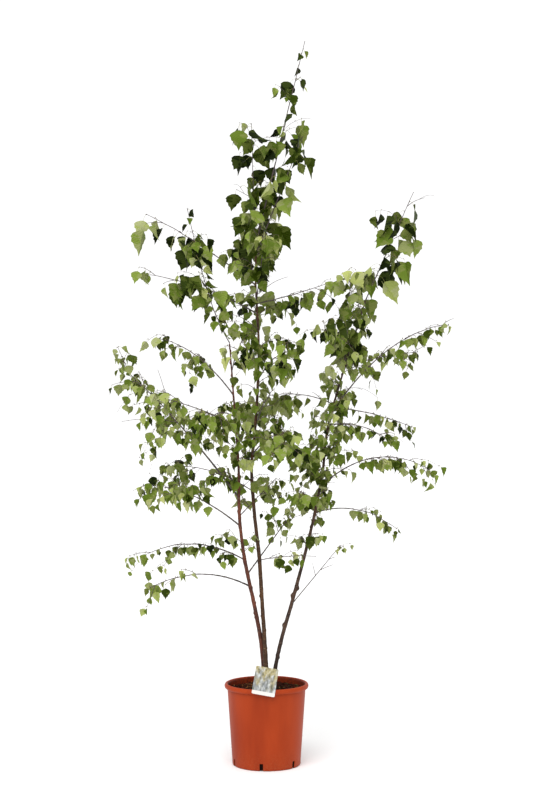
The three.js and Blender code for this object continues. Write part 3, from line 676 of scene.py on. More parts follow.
def leaf_side(name, colour, roughness):
    """One side of a birch leaf: a plain tint with a soft waxy gloss. Side veins slant forward from the
    midrib about 4 mm apart and quilt the blade between them: their cosine runs through VEIN_RADIANS over
    the leaf's length, which is 1 in the UV map."""
    material, node = new_material(name, roughness, 0.05)
    place = node("UVMap", uv_map="surface")
    aside, along = (node("SeparateXYZ", {0: place}, out=axis) for axis in ("X", "Y"))
    aside = node("Math", {0: aside}, operation="ABSOLUTE")
    slant = node("Math", {0: aside, 1: -0.9, 2: along}, operation="MULTIPLY_ADD")
    veins = node("Math", {0: slant, 1: VEIN_RADIANS}, operation="MULTIPLY")
    veins = node("Math", {0: veins}, operation="COSINE")
    return painted(material, colour, relief=veins, strength=0.6, depth=0.5)


def plain_finish(name, colour, roughness, uneven_to):
    """Small woody or green parts: one colour that drifts a little to another."""
    material, node = new_material(name, roughness, 0.2)
    place = node("TexCoord", out="Object")
    drift = node("TexNoise", {"Vector": place, "Scale": per_metre(25), "Detail": 2.0})
    return painted(material, colour, [(drift, uneven_to)])


# Pot, soil and label

def wall_radius(height):
    """The pot's outer radius: the foot's and the taper times the height."""
    return POT_FOOT_RADIUS + POT_TAPER * height


def soil_radius(height):
    """The soil's radius, a gap inside the inner face of the pot's wall."""
    return wall_radius(height) - POT_WALL - GAP


def slot_tool():
    """Six upright slots round the foot, each a square-headed bar that starts below the pot and reaches out
    through the wall."""
    half, foot = SLOT_WIDTH / 2, -20
    outline = np.array([[-half, foot], [half, foot], [half, SLOT_HEIGHT], [-half, SLOT_HEIGHT]])
    near = np.column_stack([np.full(4, float(SLOT_INNER_RADIUS)), outline])
    bar = np.concatenate([near, near + [POT_NECK_RADIUS - SLOT_INNER_RADIUS, 0, 0]])
    box = np.array([[3, 2, 1, 0], [4, 5, 6, 7], [0, 1, 5, 4], [1, 2, 6, 5], [2, 3, 7, 6], [3, 0, 4, 7]])
    turns = SLOT_TURN + even_angles(SLOT_COUNT)
    return joined([(bar @ rotation(turn, 0, 1).T, [(box, None, 0)]) for turn in turns])


def make_pot():
    """A tapered shell: the underside, a rounded foot, the wall, a rolled rim and the wall's inner face."""
    inner_neck = POT_NECK_RADIUS - POT_WALL
    heights = np.linspace(POT_FOOT_ROUND, NECK_HEIGHT, 26)
    rim_centre = (RIM_RADIUS + inner_neck) / 2
    rim_half = (RIM_RADIUS - inner_neck) / 2
    roll = np.linspace(-np.pi / 3, np.pi, 22)
    corner = np.linspace(0, np.pi / 2, 5)[1:-1]
    foot_flat = POT_FOOT_RADIUS - POT_FOOT_ROUND
    profile = np.concatenate([
        [[2, 0], [40, 0], [80, 0], [foot_flat, 0]],
        np.stack([foot_flat + POT_FOOT_ROUND * np.sin(corner), POT_FOOT_ROUND * (1 - np.cos(corner))], -1),
        np.stack([wall_radius(heights), heights], -1),
        np.stack([rim_centre + rim_half * np.cos(roll),
                  NECK_HEIGHT + RIM_HEIGHT / 2 * (1 + np.sin(roll))], -1),
        np.stack([wall_radius(heights[::-1]) - POT_WALL, heights[::-1]], -1)[:-1],
        [[wall_radius(POT_FLOOR) - POT_WALL, POT_FLOOR], [60, POT_FLOOR], [2, POT_FLOOR]],
    ])
    radius, height = (np.repeat(profile[:, k, None], POT_SEGMENTS, 1) for k in (0, 1))
    pot = make_piece("pot_shell", revolved(radius, height), [pot_plastic()], "pot_plastic", ["pot"])
    cut(pot, slot_tool(), POT_SHARP)


def clump_height(places):
    """How far the soil's large and middling clumps stand above its level."""
    return 9 * uneven(places, 38, 3) + 6 * uneven(places, 13, 4)


def make_soil_bed():
    """The filled inside of the pot: flat underside, tapered side and a clumpy top that is level at the
    wall."""
    rim = soil_radius(SOIL_TOP)
    heights = np.linspace(POT_FLOOR + GAP, SOIL_TOP, 24)
    inward = np.linspace(rim, 2, 64)[1:]
    radius = np.concatenate([[2], soil_radius(heights), inward])
    height = np.concatenate([[POT_FLOOR + GAP], heights, np.full(len(inward), float(SOIL_TOP))])
    radius, height = (np.repeat(values[:, None], SOIL_SEGMENTS, 1) for values in (radius, height))
    places = polar(radius, even_angles(SOIL_SEGMENTS), height)
    top = np.clip((rim - radius) / 6, 0, 1) * (height >= SOIL_TOP)
    clumps = clump_height(places) + 3.5 * uneven(places, 6, 5)
    soil = revolved(radius, height + top * np.clip(clumps, *CLUMPS_BETWEEN))
    compost = potting_soil("peat_and_bark_compost", "#1e0a05", "#421d10")
    make_piece("soil_bed", soil, [compost], "potting_soil", ["soil"])


def make_soil_chips():
    """Bark chips, fibres and crumbs that lie on the soil: loose six-sided blocks with uneven corners. Most
    are dark, some pale, and a few at the right mossy."""
    random = np.random.default_rng(CHIP_SEED)
    far = (soil_radius(SOIL_TOP) - 8) * np.sqrt(random.random(CHIP_COUNT))
    turn = random.uniform(0, 2 * np.pi, CHIP_COUNT)
    middle = polar(far, turn, SOIL_TOP)
    middle[:, 2] += np.clip(clump_height(middle), *CLUMPS_BETWEEN)
    middle[:, 2] += random.uniform(-0.5, 2, CHIP_COUNT)
    ahead = unit(random.normal(size=(CHIP_COUNT, 3)) * [1, 1, 0.35])
    axes = np.stack([ahead, *square_to(ahead)], 1)
    half_sizes = ((2, 8), (1.2, 3), (0.5, 1.6))
    sizes = np.stack([random.uniform(low, high, CHIP_COUNT) for low, high in half_sizes], -1)
    signs = np.array([[a, b, c] for a in (-1, 1) for b in (-1, 1) for c in (-1, 1)], float)
    spread = signs * (1 - 0.35 * random.random((CHIP_COUNT, 8, 3)))
    corners = middle[:, None] + np.einsum("ckj,cj,cjx->ckx", spread, sizes, axes)
    block = np.array([[0, 1, 3, 2], [4, 6, 7, 5], [0, 4, 5, 1], [2, 3, 7, 6], [0, 2, 6, 4], [1, 5, 7, 3]])
    faces = (block + 8 * np.arange(CHIP_COUNT)[:, None, None]).reshape(-1, 4)
    kinds = np.where(random.random(CHIP_COUNT) < 0.88, 0, 1)
    mossy = (middle[:, 0] > 25) & (random.random(CHIP_COUNT) < 0.2)
    kinds = np.repeat(np.where(mossy, 2, kinds), len(block))
    groups = [(faces[kinds == k], np.zeros((np.sum(kinds == k), 4, 2)), k) for k in range(3)]
    make_piece("soil_chips", (corners.reshape(-1, 3), groups), [
        potting_soil("dark_bark_chips", "#230d06", "#4d2313"),
        potting_soil("pale_wood_fibre", "#53331d", "#84592f"),
        potting_soil("moss_bits", "#33341a", "#4c4a26"),
    ], "potting_soil")


def label_sheet():
    """The label's shape, with the middle of its top edge at the origin. Down the card the slope eases from
    the run's to the flap's, and the place at a length is the sum of steps along the slope. Its width
    shrinks at the ends to round the corners."""
    columns = 25
    ends = LABEL_CORNER * (1 - np.cos(np.linspace(0, np.pi / 2, 7)))
    straight = np.linspace(LABEL_CORNER, LABEL_LENGTH - LABEL_CORNER, 90)
    down = np.concatenate([ends[:-1], straight, (LABEL_LENGTH - ends[::-1])[1:]])
    rows = len(down)
    fine = np.linspace(0, LABEL_LENGTH, 2841)
    ease = np.clip((fine - LABEL_RUN + LABEL_BEND / 2) / LABEL_BEND, 0, 1)
    slope = LABEL_SLOPE + (LABEL_FLAP_SLOPE - LABEL_SLOPE) * ease * ease * (3 - 2 * ease)
    step = fine[1] - fine[0]
    forward = np.interp(down, fine, np.cumsum(np.cos(slope)) * step)
    drop = np.interp(down, fine, np.cumsum(np.sin(slope)) * step)
    tilt = np.interp(down, fine, slope)
    short = np.clip(LABEL_CORNER - np.minimum(down, LABEL_LENGTH - down), 0, LABEL_CORNER)
    half = LABEL_WIDTH / 2 - LABEL_CORNER + np.sqrt(LABEL_CORNER ** 2 - short ** 2)
    side = half[:, None] * np.linspace(-1, 1, columns)
    faces_up = np.stack([np.zeros(rows), -np.sin(tilt), np.cos(tilt)], -1)
    centre = np.stack([np.zeros(rows), -forward, -drop], -1)
    top = centre[:, None] + side[..., None] * [1, 0, 0]
    under = top - LABEL_THICKNESS * faces_up[:, None]
    number = np.arange(rows * columns).reshape(rows, columns)
    upper = np.stack([number[:-1, :-1], number[1:, :-1], number[1:, 1:], number[:-1, 1:]], -1).reshape(-1, 4)
    lower = upper[:, ::-1] + number.size
    edge = np.concatenate([number[:-1, 0], number[-1, :-1], number[:0:-1, -1], number[0, :0:-1]])
    ahead = np.roll(edge, -1)
    wall = np.stack([ahead, edge, edge + number.size, ahead + number.size], -1)
    corners = np.concatenate([top.reshape(-1, 3), under.reshape(-1, 3)])
    flat = np.stack([side, np.broadcast_to(down[:, None], side.shape)], -1).reshape(-1, 2)
    flat = np.concatenate([flat, flat])
    return corners, [(upper, flat[upper], 0), (wall, flat[wall], 0), (lower, flat[lower], 1)]


def make_label():
    """A bent card that leans on the rim and on the middle stem, with one punched hole near its top."""
    behind = stem_point("middle", LABEL_TOP)[1] - stem_radius("middle", LABEL_TOP)
    place = np.array([LABEL_SIDE, behind - GAP - LABEL_SET_OFF, LABEL_TOP])
    set_in = rotation(LABEL_TURN, 0, 1) @ rotation(LABEL_ROLL, 2, 0)
    corners, groups = label_sheet()
    back = plain_finish("label_card_back", "#dcdad2", 0.4, "#d2d0c6")
    label = make_piece("plant_label", (corners @ set_in.T + place, groups), [label_card(), back],
                       "label_card", ["label"])
    cos, sin = math.cos(LABEL_SLOPE), math.sin(LABEL_SLOPE)
    middle = np.array([LABEL_HOLE_SIDE, -LABEL_HOLE_DROP * cos, -LABEL_HOLE_DROP * sin])
    through = 4 * np.array([0, -sin, cos])
    line = np.stack([middle - through, middle, middle + through]) @ set_in.T + place
    punch = tubes(line[None], np.full((1, 3), float(LABEL_HOLE_RADIUS)), 20)
    cut(label, punch, LABEL_SHARP)


# Stems and boughs

def smoothed(values, part):
    """A value read between evenly spaced ones at part, from 0 to 1, by a Catmull-Rom cubic."""
    values = np.asarray(values, float)
    last = len(values) - 1
    at = np.clip(np.floor(part * last), 0, last - 1).astype(int)
    u = part * last - at
    b, c = values[at], values[at + 1]
    a = np.where(at > 0, values[np.maximum(at - 1, 0)], 2 * b - c)
    d = np.where(at + 2 <= last, values[np.minimum(at + 2, last)], 2 * c - b)
    square, cube = 2 * a - 5 * b + 4 * c - d, 3 * b - a - 3 * c + d
    return 0.5 * (2 * b + (c - a) * u + square * u ** 2 + cube * u ** 3)


def stem_part(name, height):
    """How far up a stem a height lies: 0 at the soil and 1 at the stem's top."""
    return (height - SOIL_TOP) / (STEMS[name].top - SOIL_TOP)


def stem_point(name, height):
    """The middle of a stem at a height."""
    height = np.asarray(height, float)
    part = stem_part(name, height)
    return np.stack([smoothed(STEMS[name].side, part), smoothed(STEMS[name].depth, part), height], -1)


def up_stem(name, part):
    """The middle of a stem at a part of the way from the soil to its top."""
    return stem_point(name, SOIL_TOP + (STEMS[name].top - SOIL_TOP) * part)


def stem_radius(name, height):
    """Tapers evenly, with a flare at the root: 1 + FLARE * e^(-height over the soil / FLARE_HEIGHT)."""
    stem = STEMS[name]
    flare = 1 + FLARE * np.exp((SOIL_TOP - height) / FLARE_HEIGHT)
    return (stem.foot + (stem.tip - stem.foot) * stem_part(name, height)) * flare


def limb_point(form, s):
    """root + s * lean, bowed up by 4 * arch * s * (1 - s)."""
    s = np.asarray(s, float)[..., None]
    return stem_point(form.stem, form.height) + s * form.lean + 4 * form.arch * s * (1 - s) * [0, 0, 1]


def limb_radius(form, s):
    """Tapers evenly to a twig's tip."""
    return form.thick + (TWIG_TIP_RADIUS - form.thick) * s


def swell(heights, middle, size):
    """A swelling that fades up and down a stem: e^(-((height - middle) / size)^2)."""
    return np.exp(-((heights - middle) / size) ** 2)[:, None]


def make_stem(name, finish):
    """A tube whose radius carries the bark's relief: a collar and a ring where each limb leaves, dormant
    buds, knots where shoots were cut, raised level lenticels, and soft unevenness."""
    top = STEMS[name].top
    sides = 30
    heights = np.arange(SOIL_TOP - 8, top + 0.1, 2.4)
    centres = stem_point(name, heights)
    across = square_to(unit(centres[-1] - centres[0]))[0]
    around = math.atan2(across[1], across[0]) + even_angles(sides)
    plain = np.repeat(stem_radius(name, np.maximum(heights, SOIL_TOP))[:, None], sides, 1)
    surface = centres[:, None] + plain[..., None] * polar(1, around, 0)
    radii = plain + plain * (0.16 * uneven(surface, 60, 21) + 0.10 * uneven(surface, 12, 22))
    for form in LIMBS:
        if form.stem == name:
            facing = np.clip(np.cos(around - math.atan2(form.lean[1], form.lean[0])), 0, 1)
            radii += COLLAR_SHARE * form.thick * swell(heights, form.height, COLLAR_HEIGHT) * facing
            radii += RING_RELIEF * swell(heights, form.height - RING_DROP, RING_HEIGHT)
    random = np.random.default_rng(len(name))
    knots = [(random.uniform(SOIL_TOP + 40, top), random.uniform(0, 2 * np.pi), DORMANT_BUD_SIZE)
             for _ in range(DORMANT_BUDS)]
    if name == "right":
        knots += [(height, turn, KNOT_SIZE) for height, turn in KNOTS]
    for height, turn, size in knots:
        facing = np.clip(np.cos(around - turn), 0, 1) ** 3
        radii += size * swell(heights, height, 2 + 0.8 * size) * facing
    for height in random.uniform(SOIL_TOP, top, LENTICELS):
        turn, reach = random.uniform(0, 2 * np.pi), random.uniform(0.25, 0.8)
        apart = np.abs((around - turn + np.pi) % (2 * np.pi) - np.pi)
        radii += LENTICEL_RELIEF * swell(heights, height, LENTICEL_HEIGHT) * (apart < reach)
    radii *= np.clip((top + 1 - heights) / 6, 0.3, 1)[:, None]
    shape = tubes(centres[None], radii[None], sides)
    make_piece(f"stem_{name}_bark", shape, [finish], STEMS[name].slot, [f"stem_{name}"], sharp=60)


def make_boughs(finish):
    """Tapering tubes with a swollen root, slightly wavy and uneven, one for each limb's bare part."""
    forms = [form for form in LIMBS if form.bare > 0]
    rings, sides = 70, 12
    part = np.linspace(0, 1, rings)
    centres = np.stack([limb_point(form, form.bare * part) for form in forms])
    reach = np.array([np.linalg.norm(form.lean) * form.bare for form in forms])[:, None]
    radii = np.stack([limb_radius(form, form.bare * part) for form in forms])
    radii = radii * (1 + 0.5 * np.exp(-part * reach / 7))
    places = centres[:, :, None] + np.eye(3)[0] * np.arange(sides)[:, None]
    radii = radii[..., None] * (1 + 0.3 * uneven(places, 9, 31))
    names = [f"bough_{form.name}" for form in forms]
    make_piece("bough_bark", tubes(centres, radii, sides), [finish], "bough_bark", names, sharp=60)


# Shoots, twigs and leaves

def direction_at(path, t):
    """Which way a path runs at t, from a little before it to a little after it."""
    return unit(path(np.minimum(t + 0.02, 1)) - path(np.maximum(t - 0.02, 0)))


def shoot_point(form, start, t):
    """A place on a limb's shoot, which runs from start on the limb to its tip."""
    return limb_point(form, start + (1 - start) * np.asarray(t))


def straight_point(root, lean, t):
    """root + t * lean."""
    return root + np.asarray(t)[..., None] * lean


def twig_from(path, t, turn, length, droop=TWIG_DROOP):
    """A side twig: it leaves its host ahead, sideways and upward, and droops by the square of the way
    along."""
    ahead = direction_at(path, np.array(t))
    level, up = square_to(ahead)
    aside, upward = TWIG_ASIDE * math.cos(turn), TWIG_UP * math.sin(turn)
    direction = unit(TWIG_AHEAD * ahead + aside * level + upward * up)
    root = path(np.array(t))

    def curve(u):
        u = np.asarray(u, float)[..., None]
        return root + length * (u * direction - droop * u ** 2 * [0, 0, 1])

    return SimpleNamespace(path=curve, length=length)


def growth(steps, ranges, random, extra=0):
    """What grows along a host: for each one its place, from 0 at the host's root to 1 at its tip, its turn,
    which goes on by the golden angle, and its share of the usual length."""
    places, turns, lengths = ranges
    for k in range(steps + extra):
        place = (k + between(random, *places)) / steps
        turn = k * GOLDEN_ANGLE + between(random, *turns)
        yield place, turn, between(random, *lengths)


def side_twigs(form, shoot, random):
    """Twigs leave the shoot alternately and get shorter towards its tip."""
    return [twig_from(shoot, t, turn, form.twig * share * (1 - TWIG_DWINDLE * t))
            for t, turn, share in growth(form.twigs, SIDE_TWIG_RANGES, random)]


def leaf_draws(form, length, first, random):
    """The random numbers of the leaves along a path, in the order in which they are drawn."""
    steps = max(1, math.floor(length * (1 - first) / form.step + 0.5))
    draws = []
    for place, turn, share in growth(steps, LEAF_RANGES, random, extra=1):
        t = first + (1 - first) * place
        blade = form.leaf * share * (LEAF_FIRST - form.dwindle * t)
        draws.append((t, turn, min(blade, LEAF_LONGEST), between(random, 0, 2 * math.pi)))
    return draws


def paired(form, draws, finer):
    """Birch leaves sit in twos on short spurs: beside some leaves grows a second one, facing away. The
    large leaves of this year's topmost shoots mostly sit alone."""
    share = (SECOND_TOPMOST_LEAF if form.leaf >= TOPMOST_LEAF else SECOND_LEAF) * min(1, form.fuller)
    seconds = []
    for t, turn, blade, facing in draws:
        if next(finer) < share:
            further, turned, shorter, faced = (between(finer, *limits) for limits in SECOND_LEAF_RANGES)
            seconds.append((t + further, turn + turned, blade * shorter, facing + faced))
    return draws + seconds


def tint_for(form, blade, dealer):
    """Deals out one tint, by the shares for this limb's kind of leaf. Unfolding leaves are as light as
    small ones."""
    kind = 2 + (form.leaf >= LARGE_LEAF) + (form.leaf >= TOPMOST_LEAF)
    if blade < UNFOLDING * form.leaf:
        kind = 2
    shares = np.array([tint[kind] for tint in LEAF_TINTS.values()])
    return int(np.searchsorted(np.cumsum(shares) / shares.sum(), next(dealer)))


def inside_box(points):
    """Whether all of each row's points lie in the part's own box."""
    low, high = (np.array(corner) / MM for corner in cad_box)
    return np.all((points > low - 1) & (points < high + 1), axis=tuple(range(1, points.ndim)))


def in_open_space(points):
    """Whether more than a fifth of each row's points lie in one of the crown's open spaces."""
    side, height, radius = np.array(OPEN_SPACES, float).T
    apart = np.hypot(points[..., :1] - side, points[..., 2:] - height)
    return ((apart < radius).mean(axis=tuple(range(1, apart.ndim - 1))) > 0.2).any(-1)


def grow():
    """Every shoot, twig and fine twig as (path, radius at root, radius at tip), and for every leaf its
    host's path, its place on it, turn, length, facing, the host's radius there and its tint."""
    wood, leaves = [], []
    dealer = seeded(TINT_SEED)

    def put(form, twig, radii, draws):
        """Adds a twig with its leaves, and deals out a tint to every two."""
        at_root, at_tip = radii
        wood.append((twig.path, at_root, at_tip))
        for first in range(0, len(draws), 2):
            tint = tint_for(form, draws[first][2], dealer)
            for t, turn, blade, facing in draws[first:first + 2]:
                place = min(max(t, 0.02), 0.99)
                thick = at_root + (at_tip - at_root) * place
                leaves.append((twig.path, place, turn, blade, facing, thick, tint))

    def add_fine_twigs(form, host, spacing, finer):
        """Fine drooping twigs all along a shoot or twig, but for its leafless part and the crown's gaps."""
        steps = round(form.fuller * host.length / spacing)
        for t, turn, share in growth(steps, FINE_TWIG_RANGES, finer):
            length = form.fine * share * (form.leaf / USUAL_LEAF) ** 0.5
            fine = twig_from(host.path, t, turn, length, form.hang)
            ends = fine.path(np.array([0.5, 1.0]))[None]
            if t > form.leafy and inside_box(ends)[0] and not in_open_space(ends)[0]:
                put(form, fine, FINE_TWIG_RADII, leaf_draws(form, length, FINE_LEAFY, finer))

    for owner, form in enumerate(LIMBS):
        random, finer = seeded(*TWIG_SEEDS, owner), seeded(*FINE_SEEDS, owner)
        whole = np.linalg.norm(form.lean)
        start = form.bare + GAP / whole if form.bare > 0 else 0
        shoot = SimpleNamespace(path=partial(shoot_point, form, start), length=whole * (1 - start))
        draws = leaf_draws(form, shoot.length, form.leafy, random)
        put(form, shoot, (limb_radius(form, start), TWIG_TIP_RADIUS), paired(form, draws, finer))
        add_fine_twigs(form, shoot, FINE_PER_SHOOT, finer)
        for twig in side_twigs(form, shoot.path, random):
            draws = leaf_draws(form, twig.length, TWIG_LEAFY, random)
            put(form, twig, SIDE_TWIG_RADII, paired(form, draws, finer))
            add_fine_twigs(form, twig, FINE_PER_TWIG, finer)
    for name, place, lean in BARE_TWIGS:
        root = limb_point(next(form for form in LIMBS if form.name == name), place)
        wood.append((partial(straight_point, root, np.array(lean)), *BARE_TWIG_RADII))
    for number, (name, low, high, count, length, leaf) in enumerate(STEM_SPRAYS):
        finer = seeded(*SPRAY_SEEDS, number)
        form = limb("spray", name, low, (0, 0, 1), leaf=leaf, step=SPRAY_STEP, leafy=0)
        for place, turn, share in growth(count, SPRAY_RANGES, finer):
            root = stem_part(name, low + (high - low) * place)
            spray = twig_from(partial(up_stem, name), root, turn, length * share, SPRAY_DROOP)
            draws = leaf_draws(form, spray.length, SPRAY_LEAFY, finer)
            put(form, spray, SPRAY_RADII, paired(form, draws, finer))
            add_fine_twigs(form, spray, FINE_PER_TWIG, finer)
    return wood, leaves


def make_twigs(wood, finish):
    """Thin tubes that taper from root to tip, zigzag slightly and swell at the buds."""
    rings, sides = 26, 5
    part = np.linspace(0, 1, rings)
    centres = np.stack([path(part) for path, _, _ in wood])
    sway = np.stack([uneven(centres, 70, seed) for seed in (51, 52, 53)], -1)
    centres = centres + TWIG_SWAY * sway * np.sin(np.pi * part)[:, None]
    ends = np.array([[root, tip] for _, root, tip in wood])
    radii = ends[:, :1] + (ends[:, 1:] - ends[:, :1]) * part
    radii = radii * (1 + TWIG_SWELL * np.cos(part * 2 * np.pi * TWIG_BUDS))
    masses = [f"mass_{form.name}" for form in LIMBS]
    make_piece("twig_wood", tubes(centres, radii, sides), [finish], "bough_bark", masses, sharp=80)


def leaf_template():
    """Half outline of a birch leaf: width = LEAF_HALF_WIDTH * sin(pi * u^0.56)^1.45 of its length at the
    part u of the way to the tip, cut into four teeth. Returns the midrib's and the outline's places."""
    u = np.array([0, 0.045, 0.13, 0.20, 0.31, 0.38, 0.50, 0.57, 0.69, 0.77, 0.88, 1])
    width = LEAF_HALF_WIDTH * np.sin(np.pi * u ** 0.56) ** 1.45
    tooth = np.array([0, 0, 0.03, -0.03, 0.05, -0.04, 0.06, -0.06, 0.09, -0.08, 0, 0])
    return u, width * (1 + tooth)


def leaf_frames(leaves, chance):
    """Where each leaf is set: the root, knee and base of its stalk, the directions along, across and square
    to its blade, and its length. It hangs, and mostly shows its upper side outward."""
    path_points = np.array([path(np.array(t)) for path, t, *_ in leaves])
    ahead = np.array([direction_at(path, np.array(t)) for path, t, *_ in leaves])
    turn, blade, facing, thick = (np.array([leaf[k] for leaf in leaves])[:, None] for k in (2, 3, 4, 5))
    level, up = square_to(ahead)
    steep = np.abs(ahead[:, 2:])
    away = unit(np.cos(turn) * level + np.sin(turn) * up)
    aside = (LEAF_ASIDE[0] + LEAF_ASIDE[1] * steep) * np.cos(turn)
    upward = (LEAF_UP[0] + LEAF_UP[1] * steep) * np.sin(turn)
    hang = unit(LEAF_AHEAD * ahead + aside * level + upward * up - LEAF_DOWN * np.array([0, 0, 1]))
    stalk = blade * STALK
    root = path_points + 0.8 * thick * away
    knee = root + stalk * (0.55 * away + 0.25 * ahead + 0.12 * np.array([0, 0, 1]))
    base = root + stalk * (0.95 * hang + 0.3 * away)
    hang = unit(hang + [0, 0, -0.7])
    wide = polar(1, facing[:, 0], 0)
    wide = unit(wide - hang * dot(wide, hang))
    outward = unit(base * [1, 1, 0]) + [0, -0.1, 0.5]
    shows_back = dot(np.cross(wide, hang), outward) < 0
    wide = np.where(shows_back & (chance[:, :1] < 0.75), -wide, wide)
    return (root, knee, base), (hang, wide, np.cross(wide, hang)), blade[:, None]


def leaf_blades(leaves):
    """Corners of every leaf, 42 each, the ends of its stalk, and each corner's UV.

    A midrib is bent by the angle bend * u, so its place is sin(bend * u) / bend along and
    (1 - cos(bend * u)) / bend back. Each half is folded up from the midrib by an angle, rippled, and
    twisted about the midrib. The under side's midrib lies 0.4 mm below the upper side's. Eight chances
    are drawn for each leaf, and the first five are used."""
    random = np.random.default_rng(LEAF_SEED)
    chance = random.random((len(leaves), 8))
    stalk, (hang, wide, face), size = leaf_frames(leaves, chance)
    u, half = leaf_template()
    inner = slice(1, len(u) - 1)
    forward = (u + np.array([0, 0] + [0.02, -0.01] * 4 + [0, 0]))[inner]
    along = np.concatenate([u, u[inner], forward, forward])
    across = np.concatenate([0 * u, 0 * u[inner], half[inner], -half[inner]])
    below = np.concatenate([0 * u, 0 * u[inner] + 1, 0 * forward, 0 * forward])
    bend = 0.05 + LEAF_BEND * (chance[:, 1:2] - 0.25)
    bend = np.where(np.abs(bend) < 0.05, 0.05, bend)
    fold = LEAF_FOLD * chance[:, 2:3]
    twist = LEAF_TWIST * (chance[:, 3:4] - 0.5) * along
    ripple = LEAF_RIPPLE * np.sin(2 * np.pi * (1.6 * along + chance[:, 4:5]))
    ripple = ripple * np.abs(across) / LEAF_HALF_WIDTH
    aside = across * np.cos(fold)
    raised = np.abs(across) * np.sin(fold) + ripple
    x = (aside * np.cos(twist) - raised * np.sin(twist))[..., None]
    z = (raised * np.cos(twist) + aside * np.sin(twist) - (1 - np.cos(bend * along)) / bend)[..., None]
    y = (np.sin(bend * along) / bend)[..., None]
    blades = size * (y * hang[:, None] + x * wide[:, None] + z * face[:, None])
    corners = stalk[-1][:, None] + blades - 0.4 * below[None, :, None] * face[:, None]
    return corners, np.stack(stalk, 1), np.stack([across, along], -1)


def leaf_faces():
    """Corner numbers of one leaf: for each side and half, a strip between midrib and outline, which ends
    in a triangle at the base and at the tip. The upper side has finish 0 and the under side 1."""
    count = len(leaf_template()[0])
    inner = count - 2
    upper = list(range(count))
    runs = [range(count + k * inner, count + (k + 1) * inner) for k in range(3)]
    under, right, left = ([0, *run, count - 1] for run in runs)
    quads, triangles = ([], []), ([], [])
    for finish, rib in enumerate((upper, under)):
        for hand, edge in enumerate((right, left)):
            turned = 1 if finish == hand else -1
            triangles[finish].append([rib[0], edge[1], rib[1]][::turned])
            triangles[finish].append([rib[-2], edge[-2], rib[-1]][::turned])
            for k in range(1, count - 2):
                quads[finish].append([rib[k], edge[k], edge[k + 1], rib[k + 1]][::turned])
    return [(np.array(faces[finish]), finish) for faces in (quads, triangles) for finish in (0, 1)]


def make_leaf_pieces(corners, flat, tints):
    """One piece for each tint, with a finish for the upper sides and one for the under sides."""
    size = corners.shape[1]
    for number, (name, (upper, under, *_)) in enumerate(LEAF_TINTS.items()):
        chosen = corners[tints == number]
        first = size * np.arange(len(chosen))[:, None, None]
        groups = [
            ((faces + first).reshape(-1, faces.shape[1]), np.tile(flat[faces], (len(chosen), 1, 1)), finish)
            for faces, finish in leaf_faces()
        ]
        finishes = [leaf_side(f"leaf_{name}_upper_side", upper, 0.42),
                    leaf_side(f"leaf_{name}_under_side", under, 0.6)]
        slot = "leaf_dark" if number < 2 else "leaf_green"
        make_piece(f"leaves_{name}", (chosen.reshape(-1, 3), groups), finishes, slot, sharp=42)


def make_leaves(leaves):
    """The leaves, their stalks, which curve from root past knee to base, and a bud at each stalk's foot."""
    corners, stalks, flat = leaf_blades(leaves)
    kept = inside_box(corners) & ~in_open_space(corners)
    corners, stalks = corners[kept], stalks[kept]
    make_leaf_pieces(corners, flat, np.array([leaf[6] for leaf in leaves])[kept])
    part = np.linspace(0, 1, len(STALK_RADII))[:, None]
    root, knee, base = (stalks[:, k, None] for k in range(3))
    centres = (1 - part) ** 2 * root + 2 * part * (1 - part) * knee + part ** 2 * base
    radii = np.repeat([STALK_RADII], len(stalks), 0)
    green = plain_finish("leaf_stalk_green", "#7c8a45", 0.5, "#8c7a4a")
    make_piece("leaf_stalks", tubes(centres, radii, 4), [green], "leaf_green", sharp=80)
    tip = unit(knee - root) * BUD_LENGTH + [0, 0, 1.5]
    centres = root + np.linspace(0, 1, len(BUD_RADII))[:, None] * tip
    radii = np.repeat([BUD_RADII], len(stalks), 0)
    scales = plain_finish("bud_scales", "#4b4426", 0.5, "#543b2a")
    make_piece("buds", tubes(centres, radii, 4), [scales], "bough_bark", sharp=80)


# Making the object

make_pot()
make_soil_bed()
make_soil_chips()
make_label()
make_stem("left", young_bark("young_bark_red_brown", "#643321", "#3c1e16", "#8d6c58"))
make_stem("middle", young_bark("young_bark_brown", "#4d3119", "#2e1c0f", "#866a4c"))
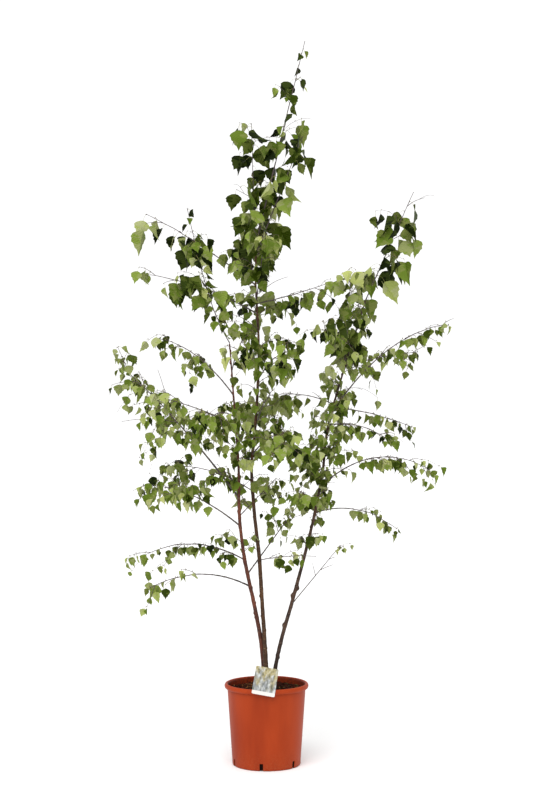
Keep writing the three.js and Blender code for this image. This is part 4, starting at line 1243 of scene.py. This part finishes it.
# The right stem takes much deeper painted shade near the pot
make_stem("right", young_bark("young_bark_grey_brown", "#503829", "#2a1a11", "#877060", foot_shade=0.75))
make_boughs(young_bark("bough_bark_grey_brown", "#5a504a", "#383230", "#96908a"))
all_wood, all_leaves = grow()
make_twigs(all_wood, plain_finish("twig_bark_purple_grey", "#5b4f50", 0.55, "#483b3e"))
make_leaves(all_leaves)

# Floor, light and camera, in metres

FLOOR_HALF = 40
FLOOR_TOP = -0.001
SKY_LIGHT = 0.8
SKY_SEEN = 1.1
PIXELS_HIGH = 800
FOCAL_PIXELS = 1570
CAMERA_DISTANCE = 4.861
CAMERA_HEIGHT = 1.125
SENSOR = 36

floor_mesh = bpy.data.meshes.new("floor")
floor_signs = ((-1, -1), (1, -1), (1, 1), (-1, 1))
floor_corners = [(x * FLOOR_HALF, y * FLOOR_HALF, FLOOR_TOP) for x, y in floor_signs]
floor_mesh.from_pydata(floor_corners, [], [(0, 1, 2, 3)])
floor_mesh.materials.append(painted(new_material("white_studio_floor", 0.9)[0], "#f9f9f9"))
placed("floor", floor_mesh)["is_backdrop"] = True

world = bpy.data.worlds.new("studio")
world.use_nodes = True
sky = world.node_tree.nodes["Background"]
seen = add(world.node_tree, "LightPath", out="Is Camera Ray")
strength = add(world.node_tree, "MapRange", {"Value": seen, 3: SKY_LIGHT, 4: SKY_SEEN})
sky.inputs["Color"].default_value = linear("#ffffff")
feed(world.node_tree, sky.inputs["Strength"], strength)
bpy.context.scene.world = world

key = bpy.data.lights.new("key", "SUN")
key.energy = 2.2
key.angle = math.radians(50)
key_light = placed("key", key)
key_light.rotation_euler = (math.radians(42), 0, math.radians(-14))

lens = bpy.data.cameras.new("camera")
lens.sensor_width = SENSOR
lens.lens = SENSOR * FOCAL_PIXELS / PIXELS_HIGH
lens.clip_end = 200
camera = placed("camera", lens)
camera.location = (0, -CAMERA_DISTANCE, CAMERA_HEIGHT)
camera.rotation_euler = (math.radians(90), 0, 0)
bpy.context.scene.camera = camera
bpy.context.scene.view_settings.view_transform = "Standard"

boxes = {"cad": cad_box, "visual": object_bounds()}
{key: [list(corner) for corner in box] for key, box in boxes.items()}
